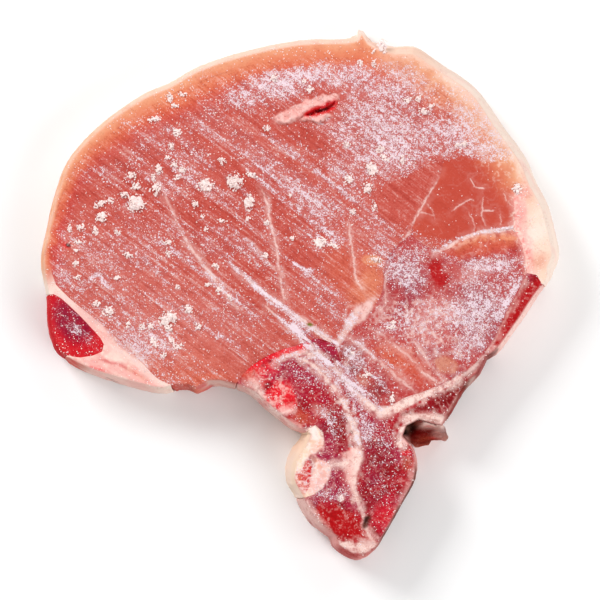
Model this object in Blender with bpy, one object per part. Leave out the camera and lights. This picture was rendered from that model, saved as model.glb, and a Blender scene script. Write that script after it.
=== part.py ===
"""A raw bone-in pork loin chop: one frozen slice, sawn across the loin and lying flat.

X runs across the chop, Y from the tip of the vertebra to the rind, and Z is up. The origin is
the middle of the chop's bounding box, on the face that it rests on. Outlines are written in
millimetres, and the objects are built in metres.

Every tissue runs through the slice: its solid is the whole block of the chop, cut to the
tissue's own outline. Neighbouring tissues share one seam line, and each keeps half of a thin
parting gap to it.
"""

import math

import bmesh
import bpy
from mathutils import Vector

MM = 0.001  # one millimetre, in metres

# Driving dimensions, in millimetres
THICKNESS = 18.0  # of the sawn slice
PARTING_GAP = 0.3  # between neighbouring tissues
CURVE_STEP = 2.4  # distance between the points that a curve is sampled at
MITRE_LIMIT = 2.0  # most that a sharp corner stretches the parting gap
CUT_MARGIN = 4.0  # how far a tissue's cutter stands past the block, above and below
SHARP_ANGLE = math.radians(40)  # edges sharper than this are shaded sharp
SLIT_DEPTH = 4.0
SLIT_WIDTH = 1.5
SLIT_FLOOR_SHARE = 0.35  # size of its floor, as a share of its mouth
SLIT_STEPS = 6  # straight pieces in each of its lips
LINING_LOW = 2.5  # top of the canal's lining at its inner end
LINING_HIGH = 8.5  # and at its torn outer tip

# The block leans in towards its upper face. Each pair is a share of the thickness and the share
# of the outline's lean that its wall has taken there.
WALL_PROFILE = (
    (0.0, 0.35),
    (0.07, 0.1),
    (0.22, 0.0),
    (0.5, 0.2),
    (0.78, 0.45),
    (0.93, 0.7),
    (1.0, 1.0),
)
NORMAL_SMOOTHING = 3  # passes that even out the way the wall leans

# The outline at the block's widest, clockwise from the left end of the rind. Each stretch has
# the distance that its wall leans in by the upper face.
LOIN_RIND_LEAN = 1.7
LOIN_RIND = (
    (-67.0, 0.0), (-68.5, 9.0), (-67.0, 17.5), (-65.0, 26.0), (-62.0, 34.5), (-58.0, 40.0),
    (-50.0, 47.5), (-40.0, 54.0), (-35.0, 56.0), (-27.0, 60.5), (-15.0, 64.5), (0.0, 67.5),
    (14.5, 68.5), (15.0, 70.0), (16.5, 70.0), (18.5, 67.5),
)
BACK_RIND_LEAN = 3.0
BACK_RIND = (
    (25.0, 66.0), (30.0, 66.0), (38.0, 61.0), (46.5, 55.0), (53.0, 46.0), (60.0, 36.0),
    (62.5, 30.0), (65.0, 25.5), (67.0, 19.0), (68.5, 10.0), (67.0, 6.0),
)
SPINE_LEAN = 1.8
SPINE_SAWN_EDGE = (
    (66.0, 4.0), (63.0, 0.0), (58.0, -7.5), (52.0, -15.5), (49.5, -17.0), (47.5, -21.0),
    (44.0, -24.5), (42.0, -27.5), (38.5, -33.5),
)
CANAL_LEAN = 0.4
SPINAL_CANAL = (
    (37.0, -34.0), (34.0, -33.5), (31.0, -32.5), (28.0, -34.0), (27.0, -36.5), (29.0, -38.5),
    (30.0, -40.5),
)
SAWN_VERTEBRA_LEAN = 1.0
SAWN_VERTEBRA = ((31.0, -44.0), (30.5, -48.0), (26.5, -55.5), (22.0, -63.5), (20.0, -66.5))
VERTEBRA_LEAN = 2.4
VERTEBRA = (
    (15.5, -70.0), (8.5, -66.5), (7.5, -64.0), (3.0, -60.5), (1.0, -58.0), (-2.0, -52.0),
    (-3.5, -49.5), (-4.0, -45.5), (-2.5, -40.5), (0.5, -36.5),
)
BELLY_LEAN = 2.0
BELLY = (
    (-2.0, -35.5), (-8.5, -30.5), (-13.0, -26.5), (-18.0, -24.5), (-23.5, -24.0),
    (-25.0, -25.0), (-27.0, -26.0), (-29.0, -25.0), (-32.0, -25.0), (-35.5, -26.0),
    (-41.0, -25.0), (-50.0, -22.5), (-57.0, -20.0), (-64.0, -15.5), (-66.5, -9.0),
    (-67.0, -3.0),
)
OUTLINE = (
    (LOIN_RIND, LOIN_RIND_LEAN),
    (BACK_RIND, BACK_RIND_LEAN),
    (SPINE_SAWN_EDGE, SPINE_LEAN),
    (SPINAL_CANAL, CANAL_LEAN),
    (SAWN_VERTEBRA, SAWN_VERTEBRA_LEAN),
    (VERTEBRA, VERTEBRA_LEAN),
    (BELLY, BELLY_LEAN),
)

# Points where three tissues meet
FLANK_CORNER = (-63.5, 3.0)
LOBE_CROWN = (39.5, 52.0)
LOBE_HEEL = (55.5, 17.5)
SPINE_TIP = (59.0, 6.0)
MUSCLE_JUNCTION = (29.0, 16.0)
BONE_CROWN = (9.0, -12.5)

# Seams between tissues. A seam that leaves the chop runs on past its outline.
CAP_TO_EYE = (
    FLANK_CORNER, (-65.0, 8.0), (-65.0, 15.0), (-58.0, 34.5), (-49.0, 42.5), (-36.0, 51.0),
    (-15.0, 59.5), (5.0, 62.0), (20.0, 61.0), (33.0, 57.0), LOBE_CROWN,
)
CAP_TO_LOBE = (
    LOBE_CROWN, (44.0, 48.0), (49.5, 43.0), (54.5, 37.0), (57.5, 32.0), (58.5, 28.5),
    (55.5, 25.5), (56.0, 21.5), LOBE_HEEL,
)
CAP_TO_INNER = (LOBE_HEEL, (57.5, 14.0), (58.5, 10.0), SPINE_TIP)
CAP_TO_BONE = (SPINE_TIP, (61.5, 5.5), (63.0, 3.0), (64.5, 0.0))
EYE_TO_FLANK_FAT = (
    FLANK_CORNER, (-60.0, -0.5), (-52.0, -7.0), (-46.0, -12.5), (-40.5, -18.0),
    (-37.0, -21.5), (-32.0, -24.0), (-28.5, -27.5),
)
FLANK_EDGE = (
    (-69.0, -0.5), (-66.5, 0.0), (-64.0, 0.5), (-60.0, -2.5), (-55.0, -7.5), (-51.0, -12.5),
    (-51.5, -14.5), (-57.0, -16.0), (-63.0, -15.5), (-66.0, -18.0),
)
EYE_TO_LOBE = (
    MUSCLE_JUNCTION, (30.0, 20.5), (32.5, 25.0), (36.5, 31.5), (38.0, 43.0), LOBE_CROWN,
)
LOBE_TO_INNER = (
    MUSCLE_JUNCTION, (32.0, 13.5), (36.0, 12.0), (41.0, 14.5), (46.0, 16.5), (51.0, 17.0),
    LOBE_HEEL,
)
EYE_TO_INNER = (
    BONE_CROWN, (13.0, -9.5), (18.5, -4.0), (21.5, 1.5), (22.0, 8.0), (24.5, 12.5),
    MUSCLE_JUNCTION,
)
EYE_TO_BONE = (
    (-18.5, -27.0), (-15.0, -20.5), (-11.0, -17.0), (-5.0, -14.0), (0.0, -12.5), (4.5, -11.0),
    BONE_CROWN,
)
INNER_TO_BONE = (
    BONE_CROWN, (11.0, -17.5), (15.0, -24.0), (20.0, -28.5), (23.5, -28.5), (27.0, -26.5),
    (33.0, -24.5), (39.0, -21.5), (45.0, -18.0), (49.5, -12.5), (54.0, -3.5), SPINE_TIP,
)
BONE_TO_CARTILAGE = (
    (-1.5, -36.5), (1.5, -35.5), (4.0, -33.5), (6.0, -35.5), (6.5, -38.5), (4.0, -41.0),
    (7.5, -47.5), (6.0, -50.0), (1.0, -52.5), (-5.0, -51.0),
)

# Corners outside the block that close the outline of a tissue which reaches its wall
PAST_RIND = ((80.0, 0.0), (80.0, 80.0), (-80.0, 80.0), (-80.0, -0.5))
PAST_FLANK_FAT = ((-80.0, -30.0), (-40.0, -40.0))
PAST_FLANK = ((-80.0, -18.0), (-80.0, -0.5))
PAST_EYE = ((-28.5, -40.0), (-18.5, -40.0))
PAST_BONE = ((80.0, 0.0), (80.0, -80.0), (-8.0, -80.0), (-8.0, -51.0))
PAST_NOTCH = ((-18.5, -36.5),)
PAST_CARTILAGE = ((-12.0, -51.0), (-12.0, -36.5))

# The torn membrane in the floor of the canal, and the slit in the upper face of the eye
CANAL_LINING = (
    (29.5, -37.5), (29.0, -35.5), (31.0, -34.0), (35.5, -35.5), (38.0, -34.5), (39.0, -37.5),
    (38.0, -38.0), (34.5, -37.5), (31.0, -39.0),
)
SLIT_ENDS = ((1.0, 47.0), (9.0, 50.5))

MATERIALS = {  # colour, roughness
    "loin_lean": ((0.62, 0.17, 0.13, 1.0), 0.55),
    "lobe_lean": ((0.60, 0.12, 0.08, 1.0), 0.5),
    "inner_lean": ((0.55, 0.16, 0.15, 1.0), 0.6),
    "flank_lean": ((0.36, 0.01, 0.03, 1.0), 0.5),
    "back_fat": ((0.86, 0.57, 0.40, 1.0), 0.5),
    "marrow_bone": ((0.40, 0.03, 0.05, 1.0), 0.6),
    "cartilage": ((0.88, 0.68, 0.52, 1.0), 0.45),
    "membrane": ((0.30, 0.05, 0.03, 1.0), 0.4),
}


def remove_startup_objects():
    for thing in list(bpy.data.objects):
        bpy.data.objects.remove(thing)


def span(before, start, end, after):
    """Points of one span of a centripetal Catmull-Rom curve, without its end."""
    t_before, t_span, t_after = (
        math.sqrt((b - a).length) for a, b in ((before, start), (start, end), (end, after))
    )
    chord = end - start
    leaving = chord + t_span * ((start - before) / t_before - (end - before) / (t_before + t_span))
    arriving = chord + t_span * ((after - end) / t_after - (after - start) / (t_span + t_after))
    count = max(1, round(chord.length / CURVE_STEP))
    for i in range(count):
        t = i / count
        yield (
            start * (2 * t**3 - 3 * t**2 + 1)
            + leaving * (t**3 - 2 * t**2 + t)
            + end * (3 * t**2 - 2 * t**3)
            + arriving * (t**3 - t**2)
        )


def smooth_line(points, closed=False):
    """A smooth curve through the points, sampled about every CURVE_STEP."""
    knots = [Vector(p) for p in points]
    if closed:
        knots = [knots[-1], *knots, knots[0], knots[1]]
    else:
        knots = [2 * knots[0] - knots[1], *knots, 2 * knots[-1] - knots[-2]]
    line = [p for i in range(len(knots) - 3) for p in span(*knots[i : i + 4])]
    return line if closed else line + [knots[-2]]


def anticlockwise(loop):
    area = sum(a.x * b.y - b.x * a.y for a, b in zip(loop, loop[1:] + loop[:1]))
    return loop if area > 0 else loop[::-1]


def inward_normals(loop):
    """For each point of an anticlockwise loop, the mitred direction into it."""
    normals = []
    for before, here, after in zip(loop[-1:] + loop[:-1], loop, loop[1:] + loop[:1]):
        side = Vector((before.y - here.y, here.x - before.x)).normalized()
        next_side = Vector((here.y - after.y, after.x - here.x)).normalized()
        middle = (side + next_side).normalized()
        normals.append(middle / max(middle.dot(side), 1 / MITRE_LIMIT))
    return normals


def smoothed_normals(loop):
    """Unit directions into the loop, evened out along it so that a leaning wall can't fold."""
    normals = inward_normals(loop)
    for _ in range(NORMAL_SMOOTHING):
        neighbours = zip(normals[-1:] + normals[:-1], normals, normals[1:] + normals[:1])
        normals = [(before + 2 * here + after).normalized() for before, here, after in neighbours]
    return normals


def inset(loop, distance):
    """The loop moved into itself by the same distance all round."""
    return [Vector((p.x, p.y)) + n * distance for p, n in zip(loop, inward_normals(loop))]


def seam_loop(*stretches):
    """One anticlockwise outline from seams and corners, with the ends that they share kept once."""
    loop = []
    for point in (Vector(p) for stretch in stretches for p in stretch):
        if not loop or (point - loop[-1]).length > PARTING_GAP / 10:
            loop.append(point)
    if (loop[0] - loop[-1]).length <= PARTING_GAP / 10:
        loop.pop()
    return anticlockwise(loop)


def stacked_rings(name, rings):
    """A closed mesh object from rings of equally many points, lowest ring first, in millimetres."""
    mesh = bpy.data.meshes.new(name)
    shape = bmesh.new()
    made = [[shape.verts.new(Vector(p) * MM) for p in ring] for ring in rings]
    for low, high in zip(made, made[1:]):
        for i in range(len(low)):
            j = (i + 1) % len(low)
            shape.faces.new((low[i], low[j], high[j], high[i]))
    shape.faces.new(made[0][::-1])
    shape.faces.new(made[-1])
    shape.to_mesh(mesh)
    shape.free()
    mesh.shade_smooth()
    mesh.set_sharp_from_angle(angle=SHARP_ANGLE)
    thing = bpy.data.objects.new(name, mesh)
    bpy.context.scene.collection.objects.link(thing)
    return thing


def prism(name, loop, low, high):
    """A straight-sided solid. high is one height, or a function of x for a sloping top."""
    top = high if callable(high) else lambda x: high
    rings = [[(p.x, p.y, low) for p in loop], [(p.x, p.y, top(p.x)) for p in loop]]
    return stacked_rings(name, rings)


def as_helper(thing):
    thing.hide_render = True
    thing.display_type = "WIRE"
    return thing


def chop_block():
    """The whole slice as one block, whose walls lean in towards the upper face."""
    points = [(x, y, lean) for stretch, lean in OUTLINE for x, y in stretch]
    outline = anticlockwise(smooth_line(points, closed=True))
    normals = smoothed_normals(outline)
    rings = [
        [
            (p.x + n.x * p.z * lean_share, p.y + n.y * p.z * lean_share, height_share * THICKNESS)
            for p, n in zip(outline, normals)
        ]
        for height_share, lean_share in WALL_PROFILE
    ]
    return as_helper(stacked_rings("chop_block", rings))


def surface_material(name):
    colour, roughness = MATERIALS[name]
    material = bpy.data.materials.new(name)
    material.use_nodes = True
    shader = material.node_tree.nodes["Principled BSDF"]
    shader.inputs["Base Color"].default_value = colour
    shader.inputs["Roughness"].default_value = roughness
    shader.inputs["Metallic"].default_value = 0.0
    material.diffuse_color = colour
    return material


def add_boolean(thing, cutter, operation):
    modifier = thing.modifiers.new(operation.lower(), "BOOLEAN")
    modifier.operation = operation
    modifier.solver = "EXACT"
    modifier.object = cutter


def tissue(name, loop, block, material, chop):
    """The part of the block inside one tissue's outline."""
    kept = inset(loop, PARTING_GAP / 2)
    thing = prism(name, kept, -CUT_MARGIN, THICKNESS + CUT_MARGIN)
    thing.data.materials.append(surface_material(material))
    add_boolean(thing, block, "INTERSECT")
    thing.parent = chop
    return thing


def slit_cutter():
    """A thin wedge, pointed at both ends and narrowing with depth."""
    start, end = (Vector(p) for p in SLIT_ENDS)
    along = end - start
    across = Vector((-along.y, along.x)).normalized() * SLIT_WIDTH / 2
    shares = [i / SLIT_STEPS for i in range(SLIT_STEPS + 1)]
    near = [start + along * s + across * math.sin(math.pi * s) for s in shares]
    far = [start + along * s - across * math.sin(math.pi * s) for s in shares[-2:0:-1]]
    loop = anticlockwise(near + far)
    middle = (start + end) / 2
    floor = [middle + (p - middle) * SLIT_FLOOR_SHARE for p in loop]
    rings = [
        [(p.x, p.y, THICKNESS - SLIT_DEPTH) for p in floor],
        [(p.x, p.y, THICKNESS + CUT_MARGIN) for p in loop],
    ]
    return as_helper(stacked_rings("slit_cutter", rings))


def canal_lining(chop):
    """The membrane left in the canal: a tongue that rises from deep inside it to a torn tip."""
    loop = anticlockwise(smooth_line(CANAL_LINING, closed=True))
    inner, outer = min(p.x for p in loop), max(p.x for p in loop)

    def top(x):
        return LINING_LOW + (LINING_HIGH - LINING_LOW) * (x - inner) / (outer - inner)

    thing = prism("canal_lining", loop, 0.0, top)
    thing.data.materials.append(surface_material("membrane"))
    thing.parent = chop


def main():
    remove_startup_objects()
    chop = bpy.data.objects.new("pork_chop", None)
    bpy.context.scene.collection.objects.link(chop)
    block = chop_block()

    cap_to_eye = smooth_line(CAP_TO_EYE)
    cap_to_lobe = smooth_line(CAP_TO_LOBE)
    cap_to_inner = smooth_line(CAP_TO_INNER)
    cap_to_bone = smooth_line(CAP_TO_BONE)
    eye_to_flank_fat = smooth_line(EYE_TO_FLANK_FAT)
    flank_edge = smooth_line(FLANK_EDGE)
    eye_to_lobe = smooth_line(EYE_TO_LOBE)
    lobe_to_inner = smooth_line(LOBE_TO_INNER)
    eye_to_inner = smooth_line(EYE_TO_INNER)
    eye_to_bone = smooth_line(EYE_TO_BONE)
    inner_to_bone = smooth_line(INNER_TO_BONE)
    bone_to_cartilage = smooth_line(BONE_TO_CARTILAGE)

    outlines = {
        "fat_cap": seam_loop(
            eye_to_flank_fat[::-1], cap_to_eye, cap_to_lobe, cap_to_inner, cap_to_bone,
            PAST_RIND, flank_edge, PAST_FLANK_FAT,
        ),
        "flank_muscle": seam_loop(flank_edge, PAST_FLANK),
        "loin_eye": seam_loop(
            cap_to_eye, eye_to_lobe[::-1], eye_to_inner[::-1], eye_to_bone[::-1],
            PAST_EYE[::-1], eye_to_flank_fat[::-1],
        ),
        "top_lobe": seam_loop(eye_to_lobe, cap_to_lobe, lobe_to_inner[::-1]),
        "inner_muscle": seam_loop(
            lobe_to_inner, cap_to_inner, inner_to_bone[::-1], eye_to_inner,
        ),
        "backbone": seam_loop(
            inner_to_bone, cap_to_bone, PAST_BONE, bone_to_cartilage[::-1], PAST_NOTCH,
            eye_to_bone,
        ),
        "disc_cartilage": seam_loop(bone_to_cartilage, PAST_CARTILAGE),
    }
    materials = {
        "fat_cap": "back_fat",
        "flank_muscle": "flank_lean",
        "loin_eye": "loin_lean",
        "top_lobe": "lobe_lean",
        "inner_muscle": "inner_lean",
        "backbone": "marrow_bone",
        "disc_cartilage": "cartilage",
    }
    made = {name: tissue(name, loop, block, materials[name], chop) for name, loop in outlines.items()}
    add_boolean(made["loin_eye"], slit_cutter(), "DIFFERENCE")
    canal_lining(chop)


main()
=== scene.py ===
"""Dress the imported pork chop: raw, frozen, bone in, lying on its lower sawn face.

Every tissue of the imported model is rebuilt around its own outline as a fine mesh, painted
with the marks that show on the sawn face, and dusted with frost. Ice lies on it as small
crystals and clumps.

Lengths are millimetres of a chop DRAWN_WIDTH wide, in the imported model's own frame, and MM
turns them into metres from the width of the frame that is loaded.
"""

import math
from functools import lru_cache

import bmesh
import bpy
import numpy as np
from bpy.props import FloatProperty, FloatVectorProperty, IntProperty, PointerProperty
from bpy.types import Operator, Panel, PropertyGroup
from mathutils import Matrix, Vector
from mathutils.geometry import delaunay_2d_cdt
from mathutils.kdtree import KDTree


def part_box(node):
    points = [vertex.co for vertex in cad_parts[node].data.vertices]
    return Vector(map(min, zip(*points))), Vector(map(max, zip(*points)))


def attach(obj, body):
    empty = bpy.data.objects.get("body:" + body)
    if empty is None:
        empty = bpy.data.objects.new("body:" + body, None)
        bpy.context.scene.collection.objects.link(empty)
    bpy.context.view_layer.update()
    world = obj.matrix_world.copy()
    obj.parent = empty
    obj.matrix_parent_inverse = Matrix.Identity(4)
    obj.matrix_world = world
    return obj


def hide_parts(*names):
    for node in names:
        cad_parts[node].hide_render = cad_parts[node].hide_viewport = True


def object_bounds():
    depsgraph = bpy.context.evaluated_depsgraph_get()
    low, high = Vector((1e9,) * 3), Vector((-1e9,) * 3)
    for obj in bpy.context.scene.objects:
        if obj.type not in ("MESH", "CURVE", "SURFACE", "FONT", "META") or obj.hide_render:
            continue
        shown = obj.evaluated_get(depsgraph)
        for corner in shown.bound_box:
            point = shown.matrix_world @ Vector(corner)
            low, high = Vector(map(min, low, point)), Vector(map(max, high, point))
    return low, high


bl_info = {
    "name": "Raw pork chop",
    "version": (1, 0, 0),
    "blender": (4, 5, 0),
    "location": "View3D > Sidebar > Pork chop",
    "description": "Builds the tissues, frost and ice of a frozen bone-in pork chop",
    "category": "Object",
}

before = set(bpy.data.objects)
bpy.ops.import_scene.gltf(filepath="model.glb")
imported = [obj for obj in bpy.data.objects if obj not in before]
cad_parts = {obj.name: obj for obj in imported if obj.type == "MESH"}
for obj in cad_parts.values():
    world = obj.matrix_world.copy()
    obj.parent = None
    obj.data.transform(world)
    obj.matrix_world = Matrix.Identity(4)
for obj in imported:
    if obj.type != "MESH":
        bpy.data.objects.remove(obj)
CAD_LOW, CAD_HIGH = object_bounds()

DRAWN_WIDTH = 137.0  # width of the chop that the measures below are given for
MM = (CAD_HIGH.x - CAD_LOW.x) / DRAWN_WIDTH
THICKNESS = (CAD_HIGH.z - CAD_LOW.z) / MM

TISSUES = (
    "fat_cap", "loin_eye", "top_lobe", "inner_muscle", "flank_muscle", "backbone",
    "disc_cartilage",
)
FACE_DEPTH = 0.03  # how far below the upper face its outlines are read
JOINING = 0.16  # how far a tissue grows to meet its neighbours across the parting gap
SEAM_REACH = 0.6  # a point this close to another tissue lies on a seam
RIM_REACH = 2.5  # how far inside the rim the lean of the wall is still felt
RIM_ROUND = 0.55  # radius of the rounded rim
WALL_SHARES = (0.0, 0.02, 0.06, 0.13, 0.22, 0.34, 0.46, 0.58, 0.7, 0.8, 0.88, 0.94)
RIM_TURNS = (0.0, 0.35, 0.7, 1.0)  # shares of the quarter turn round the rim
BASE_STEP = 3.0  # distance between points on the resting face

SAW_TURN = math.radians(-37.6)  # direction of the saw marks
SAW = np.array((math.cos(SAW_TURN), math.sin(SAW_TURN)))
LATTICE = 512  # cells in one repeat of a mottle

# Bands on the sawn face: colour or frost, strength, half widths at the two ends, softness, points
EYE_SEPTA = (
    ("sinew", 0.6, (0.05, 0.15), 0.3, ((-38, 33), (-35.5, 27), (-33.2, 22), (-31, 17.2))),
    ("sinew", 0.85, (0.15, 0.3), 0.35, ((-31, 17.2), (-28.3, 12.3), (-25.1, 8), (-20.8, 2.4))),
    ("sinew", 0.7, (0.2, 0.1), 0.35, ((-20.8, 2.4), (-18.3, -1), (-15.5, -4))),
    ("sinew", 0.9, (0.1, 0.15), 0.3, ((-8.4, 25), (-7.8, 19.8), (-6.1, 12.8), (-5.2, 5.5))),
    ("sinew", 0.9, (0.15, 0.1), 0.3, ((-5.2, 5.5), (-4.7, 1.5), (-3.3, -2))),
    ("sinew", 0.8, (0.05, 0.15), 0.3, ((-10.5, 28.5), (-8.6, 24.5), (-8, 22))),
    ("sinew", 0.85, (0.1, 0.3), 0.35, ((-18.2, 8.5), (-11.3, 2.4), (-2.6, -4.2))),
    ("sinew", 0.95, (0.3, 0.5), 0.35, ((-2.6, -4.2), (3.5, -8.4), (7, -11.2), (9.5, -13.2))),
    ("sinew", 0.6, (0.1, 0.2), 0.4, ((-10, -1.5), (-5, -6.5), (-1, -10.5), (2.5, -14))),
    ("sinew", 0.8, (0.08, 0.15), 0.3, ((12.6, 20.6), (13.2, 15), (13.9, 10.2), (14.7, 4.2), (16.9, 0.3))),
    ("frost", 1.0, (0.2, 0.3), 0.3, ((-2.2, 9), (0, 7.7), (3.5, 6))),
    ("sinew", 0.5, (0.1, 0.15), 0.35, ((-15, 16), (-11, 12.5), (-8, 8.5), (-5.8, 6))),
    ("sinew", 0.8, (0.15, 0.15), 0.35, ((-45.5, -12.5), (-42, -15.5), (-39, -19))),
)
CROWN_STREAKS = (
    ("frost", 0.75, (0.5, 0.9), 0.9, ((-18.2, 8.5), (-11.3, 2.4), (-2.6, -4.5), (3.5, -8.6), (9.5, -13.4))),
    ("marrow_purple", 0.7, (0.6, 1.0), 0.7, ((1, -9.3), (6, -14), (11, -19.3), (16.5, -25.3))),
    ("frost", 0.9, (0.9, 1.0), 0.9, ((-2, -7.5), (3, -12.6), (8, -17), (14.5, -23.5), (21, -29.4))),
    ("frost", 0.6, (0.4, 0.5), 0.7, ((-8, -3.5), (-2, -9), (3, -13.8))),
    ("frost", 0.6, (0.7, 0.5), 0.8, ((8.5, -11), (13.5, -15.5), (19, -20.5), (23, -25))),
    ("frost", 0.5, (0.5, 0.4), 0.8, ((14, -10.5), (19, -14.5), (24.5, -19))),
    ("frost", 0.7, (0.4, 0.9), 0.9, ((9.6, -12.8), (12, -8), (15.5, -3.6))),
    ("frost", 0.7, (0.3, 0.4), 0.6, ((34.5, 11.6), (41.5, 14.8), (48, 16.8), (55, 17.6))),
)
FAT_WEDGE = (
    ("sinew", 0.85, 1.2, ((12.1, -3.2), (15.6, -2.3), (19.9, -0.2), (17.3, -5.4), (13.9, -8), (11.3, -11.4),
                          (9.5, -13.6), (9.5, -11.4), (11.7, -7.1))),
    ("fat_pink", 0.4, 1.6, ((14, -3), (18, -2), (16, -5.5), (13.5, -6.5))),
)
SAW_STREAKS = (
    ("frost", -0.85, (0.4, 0.3), 0.7, ((-21, 38), (-15, 32.5), (-7.5, 26.5), (0, 20.5), (7, 15))),
    ("frost", 0.5, (0.4, 0.6), 0.6, ((-14, 33), (-5, 25.5), (4, 18.5), (12, 12.5))),
    ("frost", -0.9, (0.3, 0.35), 0.6, ((-11, 41.5), (-1, 34.5), (8, 28), (15.5, 22))),
    ("frost", 0.5, (0.4, 0.5), 0.6, ((-10, 42.5), (0, 35.5), (9, 28.5), (14, 24.5))),
    ("frost", -0.7, (0.4, 0.3), 0.6, ((-27, 42), (-21, 37.5), (-17, 34))),
    ("frost", -0.7, (0.35, 0.35), 0.6, ((-25, 52), (-16, 45.5), (-10, 41))),
    ("frost", 0.45, (0.35, 0.35), 0.5, ((-11.5, 34), (-2.5, 27), (6.5, 19.5))),
    ("frost", 0.35, (0.3, 0.3), 0.5, ((-29, 38), (-18, 29.5), (-8.5, 21.5))),
    ("frost", 0.4, (0.4, 0.4), 0.5, ((-19.5, 18.5), (-13, 13.5), (-8.5, 9.5))),
    ("frost", -0.8, (0.9, 0.6), 0.9, ((-16, 9), (-10, 4.5), (-3.5, 0))),
    ("frost", -0.7, (0.7, 0.5), 0.8, ((-1, -1), (4.5, -5.5), (8.5, -9.5))),
    ("frost", 0.35, (0.4, 0.4), 0.5, ((-50, 16.5), (-41, 10), (-35, 4))),
    ("frost", 0.35, (0.4, 0.4), 0.5, ((-36.5, 14.5), (-26, 6.5), (-17.5, -0.5), (-10, -7))),
    ("frost", 0.3, (0.4, 0.4), 0.5, ((-39, 1.5), (-26, -7.5), (-16, -14.5))),
    ("frost", -0.6, (0.5, 0.5), 0.7, ((-32, 14.5), (-22, 7.5), (-13, 0), (-5, -6.5))),
    ("frost", 0.7, (0.4, 0.6), 0.6, ((-21, -10), (-17, -12.5), (-14.5, -16.5))),
    ("frost", 0.6, (0.3, 0.3), 0.5, ((-56, 3), (-52.5, 5.5), (-50, 2))),
)
LOBE_MARBLING = (
    ("sinew", 0.85, (0.1, 0.25), 0.35, ((36.8, 32.3), (34.5, 28), (32.3, 24), (30, 20), (29, 17))),
    ("sinew", 0.8, (0.3, 0.1), 0.35, ((29, 17), (27.5, 15), (25.5, 13.5))),
    ("sinew", 0.6, (0.08, 0.1), 0.3, ((29.5, 15.5), (32, 13.8), (35, 11.8))),
    ("sinew", 0.8, (0.1, 0.2), 0.3, ((44, 31.2), (44.8, 29.2), (46, 28.3), (48.3, 28))),
    ("sinew", 0.55, (0.1, 0.1), 0.3, ((52.8, 27), (53.4, 25.5), (53.8, 24.3))),
    ("sinew", 0.75, (0.08, 0.12), 0.3, ((38.8, 21.4), (41.6, 23.6), (44.2, 25), (45.5, 24.2))),
    ("sinew", 0.85, (0.12, 0.15), 0.3, ((47, 22.5), (48.5, 22.2), (51.2, 22.4))),
    ("sinew", 0.75, (0.1, 0.15), 0.3, ((47.8, 26.5), (47.3, 22.5), (47.6, 20), (48.5, 17.4))),
    ("sinew", 0.7, (0.15, 0.1), 0.3, ((45.5, 16.6), (45, 19.5), (43.4, 22.4))),
    ("sinew", 0.6, (0.12, 0.1), 0.35, ((30.8, 21.6), (33, 21.4), (35.2, 21))),
    ("sinew", 0.5, (0.08, 0.08), 0.3, ((32.6, 24.5), (34.5, 22), (35.3, 19.5))),
    ("sinew", 0.5, (0.08, 0.08), 0.3, ((27.5, 25), (29.5, 22.5), (30.5, 21))),
    ("sinew", 0.45, (0.08, 0.08), 0.3, ((52, 21.5), (52.4, 19.5), (52, 17.8))),
    ("sinew", 0.6, (0.08, 0.12), 0.3, ((24, 22.5), (26.5, 21.8), (28.5, 20.5))),
    ("sinew", 0.95, (0.25, 0.4), 0.35, ((34.5, 11.2), (38, 12.6), (41.5, 14.6), (46, 16.5))),
    ("sinew", 0.95, (0.4, 0.5), 0.35, ((46, 16.5), (51, 17), (56, 18), (57, 20))),
)
INNER_MARBLING = (
    ("fat_peach", 0.8, (0.5, 0.5), 0.9, ((38, 13), (45, 14.8), (52, 15.4), (56, 15))),
    ("sinew", 0.7, (0.15, 0.2), 0.4, ((29, -11), (32, -15), (34, -18), (37.5, -22.5))),
    ("sinew", 0.8, (0.15, 0.25), 0.35, ((31, -19), (34.5, -21.5), (38.5, -23.3))),
    ("sinew", 0.7, (0.1, 0.2), 0.5, ((12, -10.5), (17, -14), (24, -20), (30, -25))),
    ("sinew", 0.6, (0.1, 0.15), 0.5, ((19, -8.5), (25, -13), (31, -18))),
    ("sinew", 0.6, (0.15, 0.15), 0.5, ((10.5, -20), (13, -16), (15, -14))),
    ("sinew", 0.7, (0.1, 0.15), 0.4, ((34.2, -13.5), (36.5, -15.2), (40, -14.5), (42.5, -16))),
    ("sinew", 0.6, (0.1, 0.1), 0.4, ((23, 7.5), (22, 3), (22.3, -2), (19.5, -5))),
    ("frost", 0.7, (0.5, 0.4), 0.8, ((51.5, -6), (54.5, -0.5), (57, 4.5))),
)
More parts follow.
